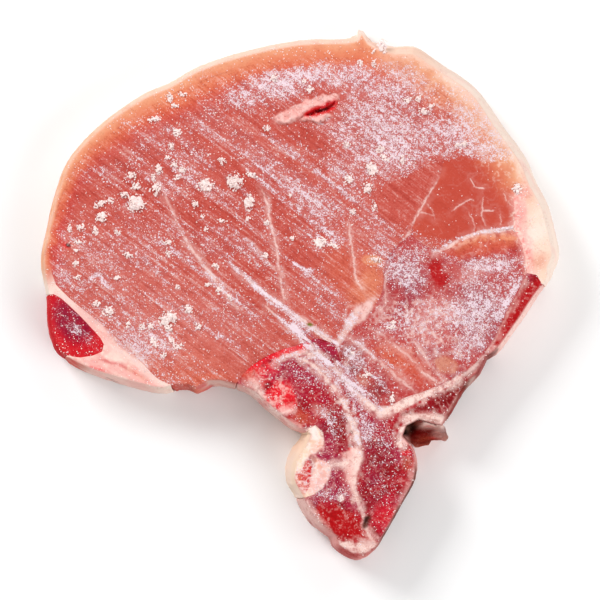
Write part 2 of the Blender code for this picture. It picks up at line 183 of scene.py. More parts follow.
SAWN_WALLS = (
    ("cortical", 0.95, (0.3, 0.6), 0.4, ((-6.5, -17), (-4.5, -15.8), (-1.5, -14.8), (3, -14.6))),
    ("cortical", 0.75, (0.3, 0.35), 0.6, ((3, -14.2), (7, -17), (11, -21), (14.5, -24.8), (18, -28.3))),
    ("cortical", 0.95, (0.4, 0.9), 0.6, ((18, -28.3), (20.5, -30), (24, -29.5), (27, -28.2))),
    ("cortical", 0.95, (0.85, 0.3), 0.6, ((27, -28.2), (31, -26.3), (36, -24.3), (40, -22))),
    ("cortical", 0.6, (0.2, 0.1), 0.5, ((40, -22), (44.8, -18.9), (48, -15.2), (50.3, -12))),
    ("cortical", 0.4, (0.1, 0.1), 0.4, ((50.3, -12), (52.5, -7.5), (55.3, -2.3), (59, 5))),
    ("cortical", 0.85, (0.2, 0.3), 0.4, ((0.5, -16), (5, -19.5), (8.5, -23.5), (11, -27.5))),
    ("cortical", 0.95, (0.3, 0.8), 0.45, ((11, -27.5), (13, -31.5), (14.7, -36.5), (15, -40))),
    ("cortical", 0.8, (0.6, 0.3), 0.5, ((15, -40), (14.8, -45), (14, -49), (15, -53))),
    ("cortical", 0.65, (0.3, 0.15), 0.5, ((15, -53), (16.5, -57), (17.5, -61.5), (20, -64.5))),
    ("cortical", 0.85, (0.2, 0.4), 0.6, ((6, -45.8), (8.5, -44), (12, -43.6), (14.3, -42.8))),
    ("cortical", 0.95, (0.5, 0.5), 0.4, ((29.5, -32.7), (27, -34.3), (25.9, -36.5), (26.2, -39))),
    ("cortical", 0.75, (0.45, 0.25), 0.5, ((28, -31.6), (32, -31.3), (36.5, -32), (38, -33))),
    ("marrow_bright", 0.95, (0.5, 0.5), 0.5, ((-13, -18.6), (-9, -16.8), (-5, -14.7), (0.5, -13.3))),
    ("cortical", 0.75, (0.3, 0.2), 0.5, ((-11, -24), (-9.5, -28), (-6, -30.5), (-2, -29.5))),
    ("cortical", 0.6, (0.3, 0.3), 0.5, ((1.5, -52.5), (3, -57.5), (6.5, -61), (9, -64))),
    ("cortical", 0.7, (0.25, 0.25), 0.5, ((9, -66), (13, -66.8), (17, -66), (19.5, -64.8))),
    ("cortical", 0.5, (0.3, 0.3), 0.8, ((30.3, -44), (29.3, -49), (26, -54.5))),
    ("cortical", 0.8, (0.5, 0.5), 0.7, ((-2.6, -49), (0.2, -54.6), (3.3, -59.8), (8.7, -63.9), (16.5, -65.3))),
    ("frost", 0.42, (1.1, 1.1), 0.9, ((5, -16.3), (10, -21.5), (14.5, -28), (17, -34), (17.5, -38))),
    ("frost", 0.5, (0.2, 0.2), 0.5, ((5.5, -30), (8, -32.5), (8.5, -36.5))),
    ("frost", 0.4, (0.3, 0.5), 0.6, ((11, -27.5), (13, -31.5), (14.7, -36.5), (15, -40.5))),
    ("frost", 0.45, (0.3, 0.3), 0.6, ((-6, -17), (-4, -15.8), (-1.5, -14.9), (3, -14.7))),
)
SPINE_MARROW = (
    ("marrow_deep", 0.9, (1.0, 1.1), 0.7, ((60.8, 3.5), (57, -2), (54, -7), (51.3, -11.3))),
    ("marrow_bright", 0.4, (0.4, 0.4), 0.5, ((57, -2), (54, -7), (50, -13.5))),
    ("marrow_deep", 0.9, (1.2, 1.3), 0.7, ((47.5, -17.5), (43, -22), (38.5, -26), (33, -28.5))),
    ("marrow", 0.9, (1.1, 0.6), 0.7, ((33, -28.5), (28, -29.8), (24.5, -32), (23, -34.3))),
    ("marrow_deep", 0.9, (0.8, 0.6), 0.6, ((41.5, -26.5), (40, -29.5), (38.3, -32))),
)
FAT_MARKS = (
    ("sinew", 0.9, (0.5, 0.5), 0.5, ((-64.5, 1.8), (-60, -1.2), (-54, -6.3), (-49, -10))),
    ("fat_pink", 0.7, (0.3, 0.3), 0.4, ((-52, -17.5), (-46, -19.5), (-40, -23))),
    ("fat_pink", 0.6, (0.25, 0.25), 0.4, ((-50, -16.8), (-44, -18.5), (-38, -22))),
    ("marrow_bright", 0.55, (0.3, 0.25), 0.5, ((-53.5, -18), (-51.5, -19), (-50.3, -20.3))),
    ("fat_pink", 0.6, (0.3, 0.3), 0.5, ((-55, -18.5), (-49, -21.5), (-44, -23.3))),
    ("marrow_bright", 0.45, (0.3, 0.3), 0.5, ((-64, -15.8), (-61, -17), (-57.5, -18.8))),
    ("fat_pink", 0.55, (0.9, 0.8), 0.8, ((57.3, 26), (57.7, 21), (58.3, 16))),
    ("lean_pale", 0.95, (0.3, 1.5), 0.5, ((-58, -1), (-53, -5), (-48.5, -9.3), (-43, -14.6))),
    ("fat_pink", 0.8, (0.5, 0.5), 0.6, ((-63, -0.5), (-58.5, -4), (-53, -9), (-49.5, -13), (-52, -16.5))),
    ("flank_rim", 0.7, (0.2, 0.15), 0.4, ((-53, -16.5), (-46, -18.3), (-41.5, -21.2), (-38, -23))),
    ("flank_rim", 0.6, (0.2, 0.1), 0.4, ((-58, -17.5), (-52.5, -20), (-47, -22.5))),
    ("marrow_bright", 0.75, (0.5, 0.4), 0.6, ((-54.2, -18.4), (-52.8, -19.2), (-51.6, -19.3))),
    ("marrow_bright", 0.6, (0.5, 0.4), 0.6, ((-52.8, -21.2), (-51.2, -22), (-49.8, -22.3))),
    ("fat_pink", 0.9, (0.5, 0.4), 0.8, ((-55, -17.5), (-48, -19), (-42, -22), (-37, -24))),
    ("sinew", 0.9, (0.2, 0.3), 0.4, ((-50.5, -12), (-45, -15.5), (-39.5, -19.5), (-34, -23))),
    ("frost", 0.5, (0.2, 1.0), 0.8, ((-57, -1.6), (-52, -6), (-47.5, -10.4), (-43, -14.8))),
    ("marrow_bright", 0.22, (0.2, 0.2), 0.4, ((56.8, 24), (57.5, 21.5), (57, 18.5))),
)

# Patches on the sawn face: colour or frost, strength, centre, radii, turn in degrees, edge
FACE_FROST = (
    ("frost", 0.52, (-8, 54), (13, 5), 10, 0.6), ("frost", 0.45, (9, 58), (9, 4), 0, 0.6),
    ("frost", 0.45, (-3, 57), (10, 3), 8, 0.6),
    ("frost", 0.42, (22, 57), (12, 5.5), -8, 0.6), ("frost", 0.3, (22, 48), (14, 8), -20, 0.7),
    ("frost", 0.42, (19, 40), (13, 9), -30, 0.6), ("frost", 0.42, (33, 40), (13, 6), 8, 0.5),
    ("frost", 0.35, (47, 43), (10, 6), -45, 0.6), ("frost", 0.3, (48, 37.5), (9, 2.2), -15, 0.5),
    ("frost", 0.28, (10, 27), (12, 8), -37, 0.7), ("frost", 0.18, (-8, 31), (22, 10), -37, 0.8),
    ("frost", 0.25, (7, 15), (9, 4), -30, 0.6), ("frost", 0.35, (5.5, 3.5), (6, 3.5), -30, 0.6),
    ("frost", 0.32, (8.5, -3), (5, 4.5), -40, 0.6), ("frost", 0.16, (-50, 5), (12, 10), -30, 0.7),
    ("frost", 0.25, (-44, -8), (12, 6), -25, 0.6), ("frost", 0.28, (-37, -12), (8, 5), -20, 0.6),
    ("frost", 0.24, (-57, 31.5), (5, 2.5), 10, 0.6), ("frost", 0.24, (-41, 44), (10, 4.5), -20, 0.6),
    ("frost", 0.25, (-20, 48), (10, 5.5), -37, 0.7), ("frost", 0.2, (-31, 32), (8, 8), 0, 0.7),
    ("frost", 0.3, (-62, 6), (3, 5), 0, 0.6), ("frost", 0.25, (21, 15), (4, 9), 10, 0.7),
    ("frost", 0.25, (-26, 58), (4, 2), 20, 0.6),
)
BARE_LEAN = (
    ("frost", -0.85, (12.5, 7), (8.5, 6), -30, 0.5), ("frost", -0.8, (-19, 60), (10, 3), 14, 0.5),
    ("frost", -0.97, (41, 25), (17, 10.5), 4, 0.09), ("frost", -0.97, (27, 25), (7.5, 5.5), 25, 0.1),
    ("frost", -0.97, (53, 29), (6, 6.5), 0, 0.12), ("frost", -0.97, (47, 13.3), (10, 2.9), 8, 0.12),
    ("frost", -0.6, (-18, -15), (9, 4), -20, 0.6), ("frost", -0.7, (-50, 37), (7, 3.5), 30, 0.5),
    ("frost", -0.8, (-2, -3.5), (4, 2), -35, 0.5), ("frost", -0.8, (17, 2), (4.5, 5), -40, 0.5),
    ("frost", -0.5, (-55, 27), (7, 6), 0, 0.8), ("frost", -0.5, (-58, 42), (5, 4), 45, 0.6),
)
LEAN_TINTS = (
    ("lean_pale", 0.6, (-29, -14), (19, 9), -25, 0.9), ("fat_orange", 0.3, (-29, -18), (14, 6), -15, 0.9),
    ("lean_pale", 0.45, (-38, -2), (24, 14), -30, 0.9), ("lean_pale", 0.4, (-16, -11), (16, 8), -25, 0.8),
    ("lean_deep", 0.3, (-46, 30), (14, 12), 20, 0.9), ("lean_deep", 0.25, (-20, 20), (22, 14), -35, 0.9),
    ("fat_orange", 0.4, (13.5, 6), (9, 7), -40, 0.8), ("fat_peach", 0.5, (17.5, 2.5), (4, 6.5), -35, 0.8),
    ("fat_orange", 0.35, (-31, -21.5), (9, 2.5), -5, 0.7), ("fat_orange", 0.5, (-24, -22), (6, 1.6), 6, 0.7),
    ("fat_orange", 0.3, (-40, -16.5), (4.5, 2.2), -40, 0.7), ("flank_rim", 0.28, (-63.5, 14), (2.5, 17), 5, 0.9),
    ("fat_peach", 0.7, (18.5, 9.3), (2.8, 1.4), -10, 0.35), ("fat_straw", 0.6, (19.5, 9.5), (2, 1.1), 0, 0.5),
    ("inner_purple", 0.8, (6.8, -12.3), (2.2, 1.3), -40, 0.5),
)
SPECKS = (
    ("marrow_bright", 0.7, (-60.5, 13.2), (1.2, 0.9), 0, 0.6), ("black_speck_and_hole_shade", 1.0, (-60.2, 13.2), (0.75, 0.6), 0, 0.5),
    ("herb", 1.0, (2.6, -7.3), (1.0, 0.55), -10, 0.5), ("frost", -0.95, (2.6, -7.3), (1.2, 0.7), -10, 0.4),
    ("frost", -0.95, (-60.2, 13.2), (1.2, 1.0), 0, 0.4),
)
INNER_FROST = (
    ("frost", 0.42, (49, 2), (9, 9), -40, 0.5), ("frost", 0.42, (28, 6), (6, 7), 0, 0.6),
    ("frost", 0.4, (50, 8.5), (8, 2.2), 6, 0.4), ("frost", 0.35, (45, -7), (7, 7), 20, 0.6),
    ("frost", 0.3, (33, -5), (10, 5), 0, 0.6), ("frost", 0.4, (44, -13.5), (4.5, 3.5), 30, 0.6),
    ("frost", 0.3, (14.5, -16), (3.5, 4.5), 0, 0.6), ("frost", 0.3, (23, -8.5), (4, 1.6), 0, 0.6),
    ("frost", -0.8, (35, 7.3), (1.6, 2), 0, 0.5), ("frost", -0.8, (36, 4), (2.2, 1.8), 0, 0.5),
    ("frost", -0.6, (28.5, -18), (9, 4.5), -30, 0.5), ("frost", -0.9, (38, -17.8), (3.2, 2.5), -20, 0.35),
    ("frost", -0.6, (23, 0), (2.4, 4.5), 0, 0.6),
)
INNER_TINTS = (
    ("inner_purple", 0.75, (27, 3), (7, 8), 0, 0.8), ("inner_purple", 0.7, (47, -6), (8, 12), 30, 0.8),
    ("inner_bare", 0.6, (23.5, -1), (3, 6), 0, 0.7), ("fat_pink", 0.5, (36, -4), (7, 4), 5, 0.8),
    ("fat_pink", 0.4, (33, -10), (5, 3), -10, 0.8), ("fat_pink", 0.35, (44, 6), (5, 2.6), 10, 0.8),
    ("marrow_deep", 0.75, (13.5, -16.5), (3.6, 5.5), 30, 0.6), ("marrow_deep", 0.6, (20, -24.5), (3, 3), -30, 0.6),
    ("crescent", 0.8, (28, -18), (10, 5), -32, 0.7), ("fat_orange", 0.4, (24, -15), (7, 3), -30, 0.8),
    ("tan", 0.85, (38, -18), (3.4, 2.4), -20, 0.3), ("tan", 0.4, (16, -22), (2.5, 2), 0, 0.7),
    ("lean_deep", 0.6, (48, -8.5), (2, 4), -20, 0.6), ("fat_orange", 0.6, (50, 13.5), (7, 1.8), 4, 0.6),
    ("marrow_bright", 0.6, (43.3, -8.4), (0.5, 0.5), 0, 0.5), ("crescent", 0.95, (46, 13), (11, 3), 8, 0.5),
    ("lean_deep", 0.4, (42, 12), (4, 1.8), 10, 0.8),
)
BLOOD_SPOTS = (
    ("crimson", 0.9, 1.0, ((32.5, 9.8), (35.5, 10.2), (36.8, 7.6), (39, 4.2), (36.4, 2.4), (34.7, 4.2),
                               (33.4, 7.2))),
)
BONE_TINTS = (
    ("marrow_bright", 0.7, (-10.5, -19.5), (5, 3), 20, 0.7), ("fat_pink", 0.5, (-12, -22.5), (3, 2), 0, 0.6),
    ("marrow_bright", 0.95, (-4.5, -26), (3.3, 4.3), 25, 0.5), ("marrow_bright", 0.75, (-8.5, -28), (2.4, 2), 0, 0.6),
    ("fat_orange", 0.5, (-13.5, -20), (2.6, 1.8), 25, 0.7), ("marrow", 0.6, (3, -22), (7, 4.5), -30, 0.8),
    ("marrow_purple", 0.6, (1, -20), (6, 3.5), -25, 0.8), ("fat_orange", 0.45, (1, -31.8), (3.6, 2.2), -20, 0.7),
    ("fat_pink", 0.4, (5.5, -30), (3, 1.6), -30, 0.7), ("marrow_deep", 0.7, (10, -34.5), (3, 6.5), 15, 0.7),
    ("marrow_deep", 0.6, (20.5, -44), (5, 7), 10, 0.8), ("marrow_deep", 0.6, (18.5, -52), (3, 6), 10, 0.7),
    ("marrow_deep", 0.8, (9.5, -58.3), (8, 4.2), -38, 0.35), ("crimson", 0.9, (10, -59), (7.4, 3.6), -40, 0.4),
    ("marrow_purple", 0.7, (7, -52.2), (5, 2.6), 0, 0.7), ("crimson", 0.7, (15, -63.5), (3, 2.4), -30, 0.5),
    ("cortical", 0.8, (10.6, -52.6), (1.1, 1), 0, 0.5),
    ("black_speck_and_hole_shade", 0.7, (13.3, -35.3), (0.5, 0.6), 0, 0.6), ("black_speck_and_hole_shade", 0.7, (13, -38.7), (0.7, 0.5), 0, 0.6),
    ("membrane", 0.6, (11.2, -64.5), (1.2, 0.9), 0, 0.5), ("marrow_bright", 0.9, (13.5, -40), (1.2, 0.8), -20, 0.5),
    ("fat_pink", 0.7, (28, -37.8), (1.3, 1.1), 0, 0.5), ("marrow_bright", 0.9, (27.5, -40.8), (1.2, 0.8), 0, 0.5),
    ("fat_orange", 0.35, (28, -43.5), (2, 2), 0, 0.7), ("marrow_bright", 0.5, (22.5, -57), (3, 5), -10, 0.7),
    ("marrow_purple", 0.5, (19, -47.5), (3, 3), 0, 0.8), ("inner_purple", 0.7, (8, -16.5), (3.4, 1.8), -42, 0.6),
    ("marrow_purple", 0.6, (17.5, -33), (2.5, 5), -15, 0.8), ("cortical", 0.5, (22, -31), (3, 1.4), 0, 0.7),
    ("fat_pink", 0.4, (12.5, -47), (2, 2.6), 0, 0.8), ("fat_pink", 0.7, (-1, -34), (3, 1.2), -40, 0.6),
)
BONE_FROST = (
    ("frost", 0.3, (1, -20), (7, 4), -25, 0.6), ("frost", 0.35, (20.5, -35), (5, 5), 0, 0.6),
    ("frost", 0.2, (22, -46), (5, 10), -10, 0.7), ("frost", 0.35, (8, -51), (6, 2.6), 0, 0.6),
    ("frost", 0.3, (7, -44.5), (3, 2.5), 0, 0.6), ("frost", -0.8, (10, -59), (7, 3.6), -40, 0.3),
    ("frost", -0.8, (-4.5, -26), (3, 4), 0, 0.5), ("frost", -0.5, (40, -26), (8, 3.5), 35, 0.6),
    ("frost", 0.2, (9.5, -33), (3, 5), 10, 0.7), ("frost", -0.7, (56, -4), (4, 12), -35, 0.5),
    ("brown_and_wall_shade", 1.0, (17.3, -58.7), (1.0, 2.0), -25, 0.4), ("black_speck_and_hole_shade", 0.6, (17.1, -58.2), (0.7, 1.1), -25, 0.4),
    ("frost", -0.95, (17.3, -58.7), (1.3, 2.3), -25, 0.4),
)
DISC_FIELDS = (
    ("cartilage", 0.95, 0.6, ((-1, -36.2), (1.3, -35.6), (3.3, -33.8), (4.9, -35), (6, -38.7), (2.8, -41.4),
                              (0.4, -43.6), (-1.5, -47), (-3.5, -51), (-8, -46), (-7, -40))),
    ("fat_orange", 0.3, 2.5, ((-1.5, -38), (0.5, -37), (-1, -42), (-2.8, -47), (-4.5, -47), (-4, -42))),
    ("cartilage_pink", 0.95, 0.8, ((2.4, -41.2), (5.5, -42.6), (7.8, -44), (7.3, -48), (3.6, -51.5), (1.8, -50))),
    ("cartilage_pink", 0.6, 0.8, ((-2.6, -46.5), (-0.8, -48), (0.6, -52), (1.5, -55), (-1, -53), (-4, -49))),
    ("red_wedge", 0.97, 0.5, ((0.6, -44.2), (2.2, -42.8), (3.1, -45.2), (2.3, -49.5), (0.5, -51.6), (-1.4, -47))),
    ("fat_cream", 0.6, 0.8, ((3.4, -44), (4.6, -43.4), (5, -46), (4, -47.5))),
    ("ice", 0.8, 1.2, ((0.5, -35.8), (3.4, -34), (4.6, -35.6), (4.4, -37.5), (2, -37))),
    ("fat_pink", 0.6, 1.4, ((4, -38), (5.8, -37), (6, -39.5), (3.5, -41), (2.5, -40.5))),
)
BONE_FIELDS = (
    ("crimson", 0.95, 0.6, ((3, -52.5), (4.5, -57.4), (10.4, -61.7), (16.5, -63), (20.4, -64.3), (16.5, -60),
                            (14.7, -56.9), (10.4, -55.2), (7.8, -52.2), (5.2, -51))),
    ("cartilage_pink", 0.8, 0.8, ((7.8, -43.5), (11.7, -40.7), (15.6, -39.6), (15.8, -43.5), (14.3, -48.7),
                                  (13.4, -50.4), (12.1, -47), (10.4, -44.4))),
    ("marrow_bright", 0.85, 1.2, ((-9.5, -22.5), (-5.5, -22.3), (-2, -24.5), (-0.8, -28.5), (-3.5, -30.6),
                                  (-7, -28.8), (-10, -26))),
    ("crimson", 0.8, 0.8, ((41, -23.5), (45, -20), (48.5, -16.5), (51, -12), (53.5, -9), (52, -14), (48.5, -18.5),
                            (44.5, -22.5), (42, -25.5))),
    ("marrow_deep", 0.85, 0.8, ((24.7, -33.1), (26.9, -30.4), (31.2, -28.4), (35.5, -27), (40.7, -23.2), (44.2, -21),
                                (42.5, -25.3), (39.9, -30.1), (38.6, -32.2), (36.8, -31), (32.9, -29.8), (29, -31))),
    ("crimson", 0.85, 1.2, ((58.8, 4.9), (62.4, 4.2), (62.8, 2.4), (58.9, -3.6), (56.3, -8), (52.6, -13.5),
                               (48.6, -17.4), (50.6, -12.3), (51.9, -7.1), (54.5, -1.9), (57, 1.6))),
    ("membrane", 0.7, 0.8, ((29, -32.5), (31.5, -30.9), (36, -30.7), (38.5, -32.2), (38, -34.5), (30, -34))),
    ("marrow_deep", 0.6, 0.5, ((31.5, -32.6), (34, -31.8), (36.5, -32.4), (35, -33.3), (32.5, -33.4))),
)
FLANK_TINTS = (
    ("flank_deep", 0.95, (-59, -6.5), (5, 7.2), 38, 0.45), ("flank_rim", 0.6, (-66, -5), (1.6, 7), 5, 0.7),
    ("frost", 0.42, (-58.5, -8.6), (2.4, 1.8), -20, 0.6), ("frost", 0.35, (-54.5, -11.3), (3.4, 1.8), -20, 0.6),
    ("frost", 0.15, (-60, -5), (4.5, 6), 30, 0.7),
)
FAT_TINTS = (
    ("fat_orange", 0.45, (62, 9.5), (3.2, 2.6), 0, 0.8), ("fat_peach", 0.35, (47, 49), (8, 4), -50, 0.9),
    ("fat_peach", 0.35, (32, 61), (9, 3), -25, 0.9), ("fat_cream", 0.6, (64, 20), (3.5, 9), 8, 0.8),
    ("fat_peach", 0.55, (-42.5, -20.5), (4.5, 2), -30, 0.7), ("fat_cream", 0.7, (-47, -16), (4, 2), -25, 0.7),
    ("fat_pink", 0.35, (-50, -20), (8, 3), -15, 0.8), ("crescent", 0.4, (56.5, 30.5), (2, 2.2), 0, 0.8),
    ("rind", 0.8, (16, 69.5), (1.6, 1.4), 0, 0.6),
)
CANAL_TINTS = (
    # The two black patches are painted shade: the low sheet over the canal's floor is painted black for the shade in
    # the hole.
    ("black_speck_and_hole_shade", 0.98, (28.5, -35.6), (3.4, 3), 0, 0.5), ("black_speck_and_hole_shade", 0.8, (31.3, -35.4), (1.6, 1.4), 0, 0.7),
    ("crimson", 0.85, (32.5, -37.2), (4, 2.6), 15, 0.7), ("fat_orange", 0.7, (32.8, -37.8), (2.2, 0.9), 20, 0.8),
    ("marrow_deep", 0.8, (34.5, -35.4), (2.5, 1), 0, 0.7),
    # The frost patch at (37.4, -35.2) is a painted highlight: the white sheen on the top of the torn tip.
    ("cartilage_pink", 0.95, (36.8, -36.6), (2.6, 1.3), 0, 0.6), ("frost", 0.6, (37.4, -35.2), (1.1, 1.3), 0, 0.7),
    ("marrow_bright", 0.5, (35.8, -37.6), (2.6, 0.5), -5, 0.7), ("fat_pink", 0.9, (27.6, -38.4), (1.8, 1.6), 0, 0.5),
    ("red_wedge", 0.6, (28.2, -38.8), (0.8, 0.6), 0, 0.5),
)
WALL_TINTS = (
    ("membrane", 0.85, (-20, -25), (9, 3.5), -8, 0.4), ("cortical", 0.8, (-7, -30), (9, 5), -40, 0.4),
    ("marrow_bright", 0.4, (-9, -27.5), (2, 1.2), -40, 0.6), ("marrow_bright", 0.3, (-3.5, -33), (1.6, 1), -40, 0.6),
    ("fat_pink", 0.7, (-47, -23), (12, 5), -15, 0.5), ("flank_rim", 0.8, (-67, -8), (4, 8), 0, 0.5),
    ("crescent", 0.85, (-60.5, -17.5), (5.5, 3), -30, 0.5), ("marrow_bright", 0.5, (-60, -17), (3, 1.6), -30, 0.6),
    ("cortical", 0.6, (0, -57), (6, 8), -35, 0.5), ("fat_cream", 0.6, (-4, -45), (3, 8), 0, 0.5),
    ("crimson", 0.75, (13, -67), (7, 2.6), 0, 0.6), ("crimson", 0.6, (2, -60), (1.5, 1.5), 0, 0.6),
    # The dark brown patches in this table are painted shade on the vertebra's shaded side walls and on the wall of
    # the canal notch.
    ("brown_and_wall_shade", 0.95, (27, -54), (5, 15), -30, 0.4), ("brown_and_wall_shade", 0.98, (42, -27), (4, 9), -35, 0.4),
    ("marrow_deep", 0.8, (47.5, -18), (2.5, 5), -35, 0.5), ("crimson", 0.5, (40, -28), (2, 5), -35, 0.8),
    ("cortical", 0.75, (58, -7), (5, 13), -35, 0.5), ("brown_and_wall_shade", 0.6, (50, -17), (3, 2), 20, 0.5),
    ("brown_and_wall_shade", 0.9, (31, -34.5), (6, 4), 0, 0.5), ("flank_rim", 0.7, (-25, -25), (2, 1.5), 30, 0.5),
    ("fat_orange", 0.6, (-27.5, -25.5), (1.6, 1.2), 0, 0.6), ("black_speck_and_hole_shade", 0.7, (-49, -23), (1.8, 0.8), -15, 0.5),
    ("membrane", 0.6, (46, -23), (3, 2.5), 30, 0.5), ("fat_pink", 0.5, (31, -45), (2, 4), 0, 0.6),
)

# Clumps of ice on the sawn face: x, y, radii, height, turn in degrees
CLUMPS = (
    (-17, 29.7, 2.1, 2.2, 1.4, 20), (-42.7, 24, 2.3, 2.3, 1.3, -30), (-45.8, 26.4, 1.1, 0.7, 0.9, 0),
    (-34.2, -6, 2.3, 2, 1.2, 10), (-34, -8.5, 0.9, 0.9, 0.8, 0), (-13.3, 24.3, 1.4, 2, 1.1, 0),
    (-24.5, 28.7, 2.3, 1.5, 1, 15), (-20.3, 35, 1.1, 1, 1, 0), (-51.5, 20.5, 1.6, 1.3, 0.9, 30),
    (-52, 24, 1.9, 0.8, 0.7, 20), (-49.2, 24.8, 1.1, 0.7, 0.6, 0), (-53.2, 17, 0.7, 1, 0.7, 0),
    (-37.6, 27.6, 1.3, 1.6, 0.9, -20), (-36.7, 33.1, 0.9, 1.4, 0.8, 0), (-43.7, 31.3, 1, 1.2, 0.8, 30),
    (-42.7, 28.5, 1.2, 1.1, 0.8, 30), (-38, 31, 0.6, 1, 0.6, 0), (-32.7, 34.2, 0.9, 0.7, 0.6, 0),
    (-30.7, 33, 1, 0.8, 0.7, 0), (-32, 31, 0.8, 0.8, 0.6, 0), (-33.8, 51.6, 0.8, 1.3, 0.6, 0),
    (-32.6, 49.5, 1.2, 0.5, 0.5, 0), (-30.5, 52.4, 1, 0.6, 0.5, 0), (-37.8, 46, 1.7, 0.7, 0.5, 15),
    (-32, 42.5, 1.2, 1, 0.5, -30), (-33.5, 39, 0.6, 0.8, 0.5, 0), (-34.3, 36, 0.8, 0.5, 0.5, 0),
    (-59.8, 17.5, 0.5, 1, 0.5, 0), (-57, 17.8, 1.1, 0.9, 0.5, 0), (-57.5, 14, 1.3, 0.4, 0.4, 0),
    (-58.2, 11.8, 0.6, 0.4, 0.4, 0), (-47.5, 16.6, 0.8, 0.5, 0.5, -20), (-44.7, 10.7, 1.3, 0.7, 0.6, -10),
    (-58.3, 8.5, 0.8, 0.8, 0.4, 0), (-58, 5, 0.9, 0.8, 0.4, -30), (-47.7, 4.7, 0.9, 0.6, 0.5, 20),
    (-34.4, 14, 0.9, 0.5, 0.5, 0), (-34.3, 11, 0.7, 0.8, 0.5, 0), (-27.3, 24, 0.8, 1, 0.6, 20),
    (-25.3, 20.7, 0.5, 0.6, 0.5, 0), (-24.5, 17.5, 0.6, 0.5, 0.5, -30), (-31.8, 2.5, 0.6, 0.5, 0.5, 0),
    (-53, -2, 1.1, 0.7, 0.5, 0), (-49.7, -4, 1.5, 1.3, 0.7, 20), (-29, -3.3, 1.1, 1.1, 0.8, 0),
    (-38.8, -7.8, 0.8, 0.8, 0.6, -30), (-26.5, -8, 0.9, 0.8, 0.7, 30), (-44.7, -7, 0.6, 1.1, 0.4, 0),
    (-41, -8, 0.8, 0.8, 0.4, 0), (-33.6, -11.5, 0.8, 1.1, 0.4, 50), (-31.8, -13, 1.5, 0.7, 0.4, 10),
    (-38, -12, 1, 1.4, 0.4, 20), (-35.4, -15.4, 0.8, 0.8, 0.4, 45), (-20.4, 19.6, 1.4, 0.4, 0.4, -10),
    (-12.5, 31.5, 1.5, 0.7, 0.5, -15), (-6.8, 56.7, 0.9, 1.2, 0.8, 0), (2.6, 53.6, 0.9, 0.9, 0.7, 0),
    (1, 56, 0.6, 0.6, 0.4, 0), (-8.6, 43.6, 1, 0.7, 0.6, 10), (17.6, 28, 1.2, 1.4, 0.8, 0),
    (12.5, 30.4, 1.2, 1.3, 0.7, -30), (18.6, 33, 1.4, 1.7, 0.8, 20), (12.2, 39.4, 0.9, 0.7, 0.7, 0),
    (20.7, 38.3, 1.1, 0.9, 0.7, 0), (28, 51, 1, 0.7, 0.7, 10), (30.8, 51.3, 0.7, 0.9, 0.7, 0),
    (32.4, 48, 1.5, 0.9, 0.8, -10), (34, 49.4, 0.9, 0.6, 0.6, 30), (42.6, 39.5, 1, 0.6, 0.7, 15),
    (40.8, 39.4, 0.5, 0.5, 0.6, 0), (26.7, 35.4, 0.7, 1, 0.6, 0), (22, 36, 1.2, 0.7, 0.4, -20),
    (56.6, 28, 1.3, 1.4, 0.7, 0), (15.6, 60.6, 0.7, 0.7, 0.4, 0), (19.2, 60.4, 0.5, 0.9, 0.4, 0),
    (21.5, 65, 1.2, 1.9, 0.8, 0), (19.2, 63.7, 0.3, 0.8, 0.4, -40), (-13.6, 20.2, 0.7, 0.5, 0.5, 0),
    (-8.6, 19, 0.6, 0.6, 0.5, 0), (-2, 15, 0.5, 0.5, 0.6, 0), (-9, 10.5, 0.8, 0.6, 0.6, -30),
    (5.5, 14, 1.9, 1.4, 0.4, -20), (9, 13, 1.2, 0.6, 0.4, -30), (13.7, 22, 0.8, 0.6, 0.5, 0),
    (19.3, 23.2, 0.6, 1, 0.5, -20), (-2.6, 26.2, 0.5, 0.5, 0.5, 0), (-22, 7.8, 0.8, 0.9, 0.4, 0),
    (-24, 3, 0.8, 0.5, 0.4, 0), (-21, 1.6, 0.7, 1.1, 0.4, -20), (-18.3, -0.4, 0.35, 0.9, 0.4, 20),
    (19.8, 9.5, 1.3, 0.6, 0.8, -5), (24, -26.5, 0.6, 1.6, 1, 0), (23.4, -8.2, 1.3, 0.5, 0.4, 10),
    (24.2, -7, 0.6, 0.5, 0.4, 0), (10.6, -52.6, 0.8, 0.8, 0.5, 0), (17.5, -20.5, 1.2, 0.7, 0.4, 0),
    (13.6, -14.8, 0.5, 0.5, 0.5, 0),
)
SLIT_LIPS = (
    ((-2.5, 47), (4.6, 1.9), 22), ((3.5, 50), (5.5, 1.5), 22), ((4, 46.2), (4.5, 0.9), 8),
    ((8.3, 51.2), (2, 1.3), 15),
)
SLIT_MOUTH = ((1.8, 47.3), (4.5, 48.1), (7, 48.9), (8.8, 50.2))


def colour(name, red, green, blue, note):
    """A colour setting, typed as it looks on a screen, from 0 to 255."""
    return FloatVectorProperty(
        name=name,
        description=note,
        subtype="COLOR_GAMMA",
        size=3,
        min=0.0,
        max=1.0,
        default=(red / 255, green / 255, blue / 255),
    )


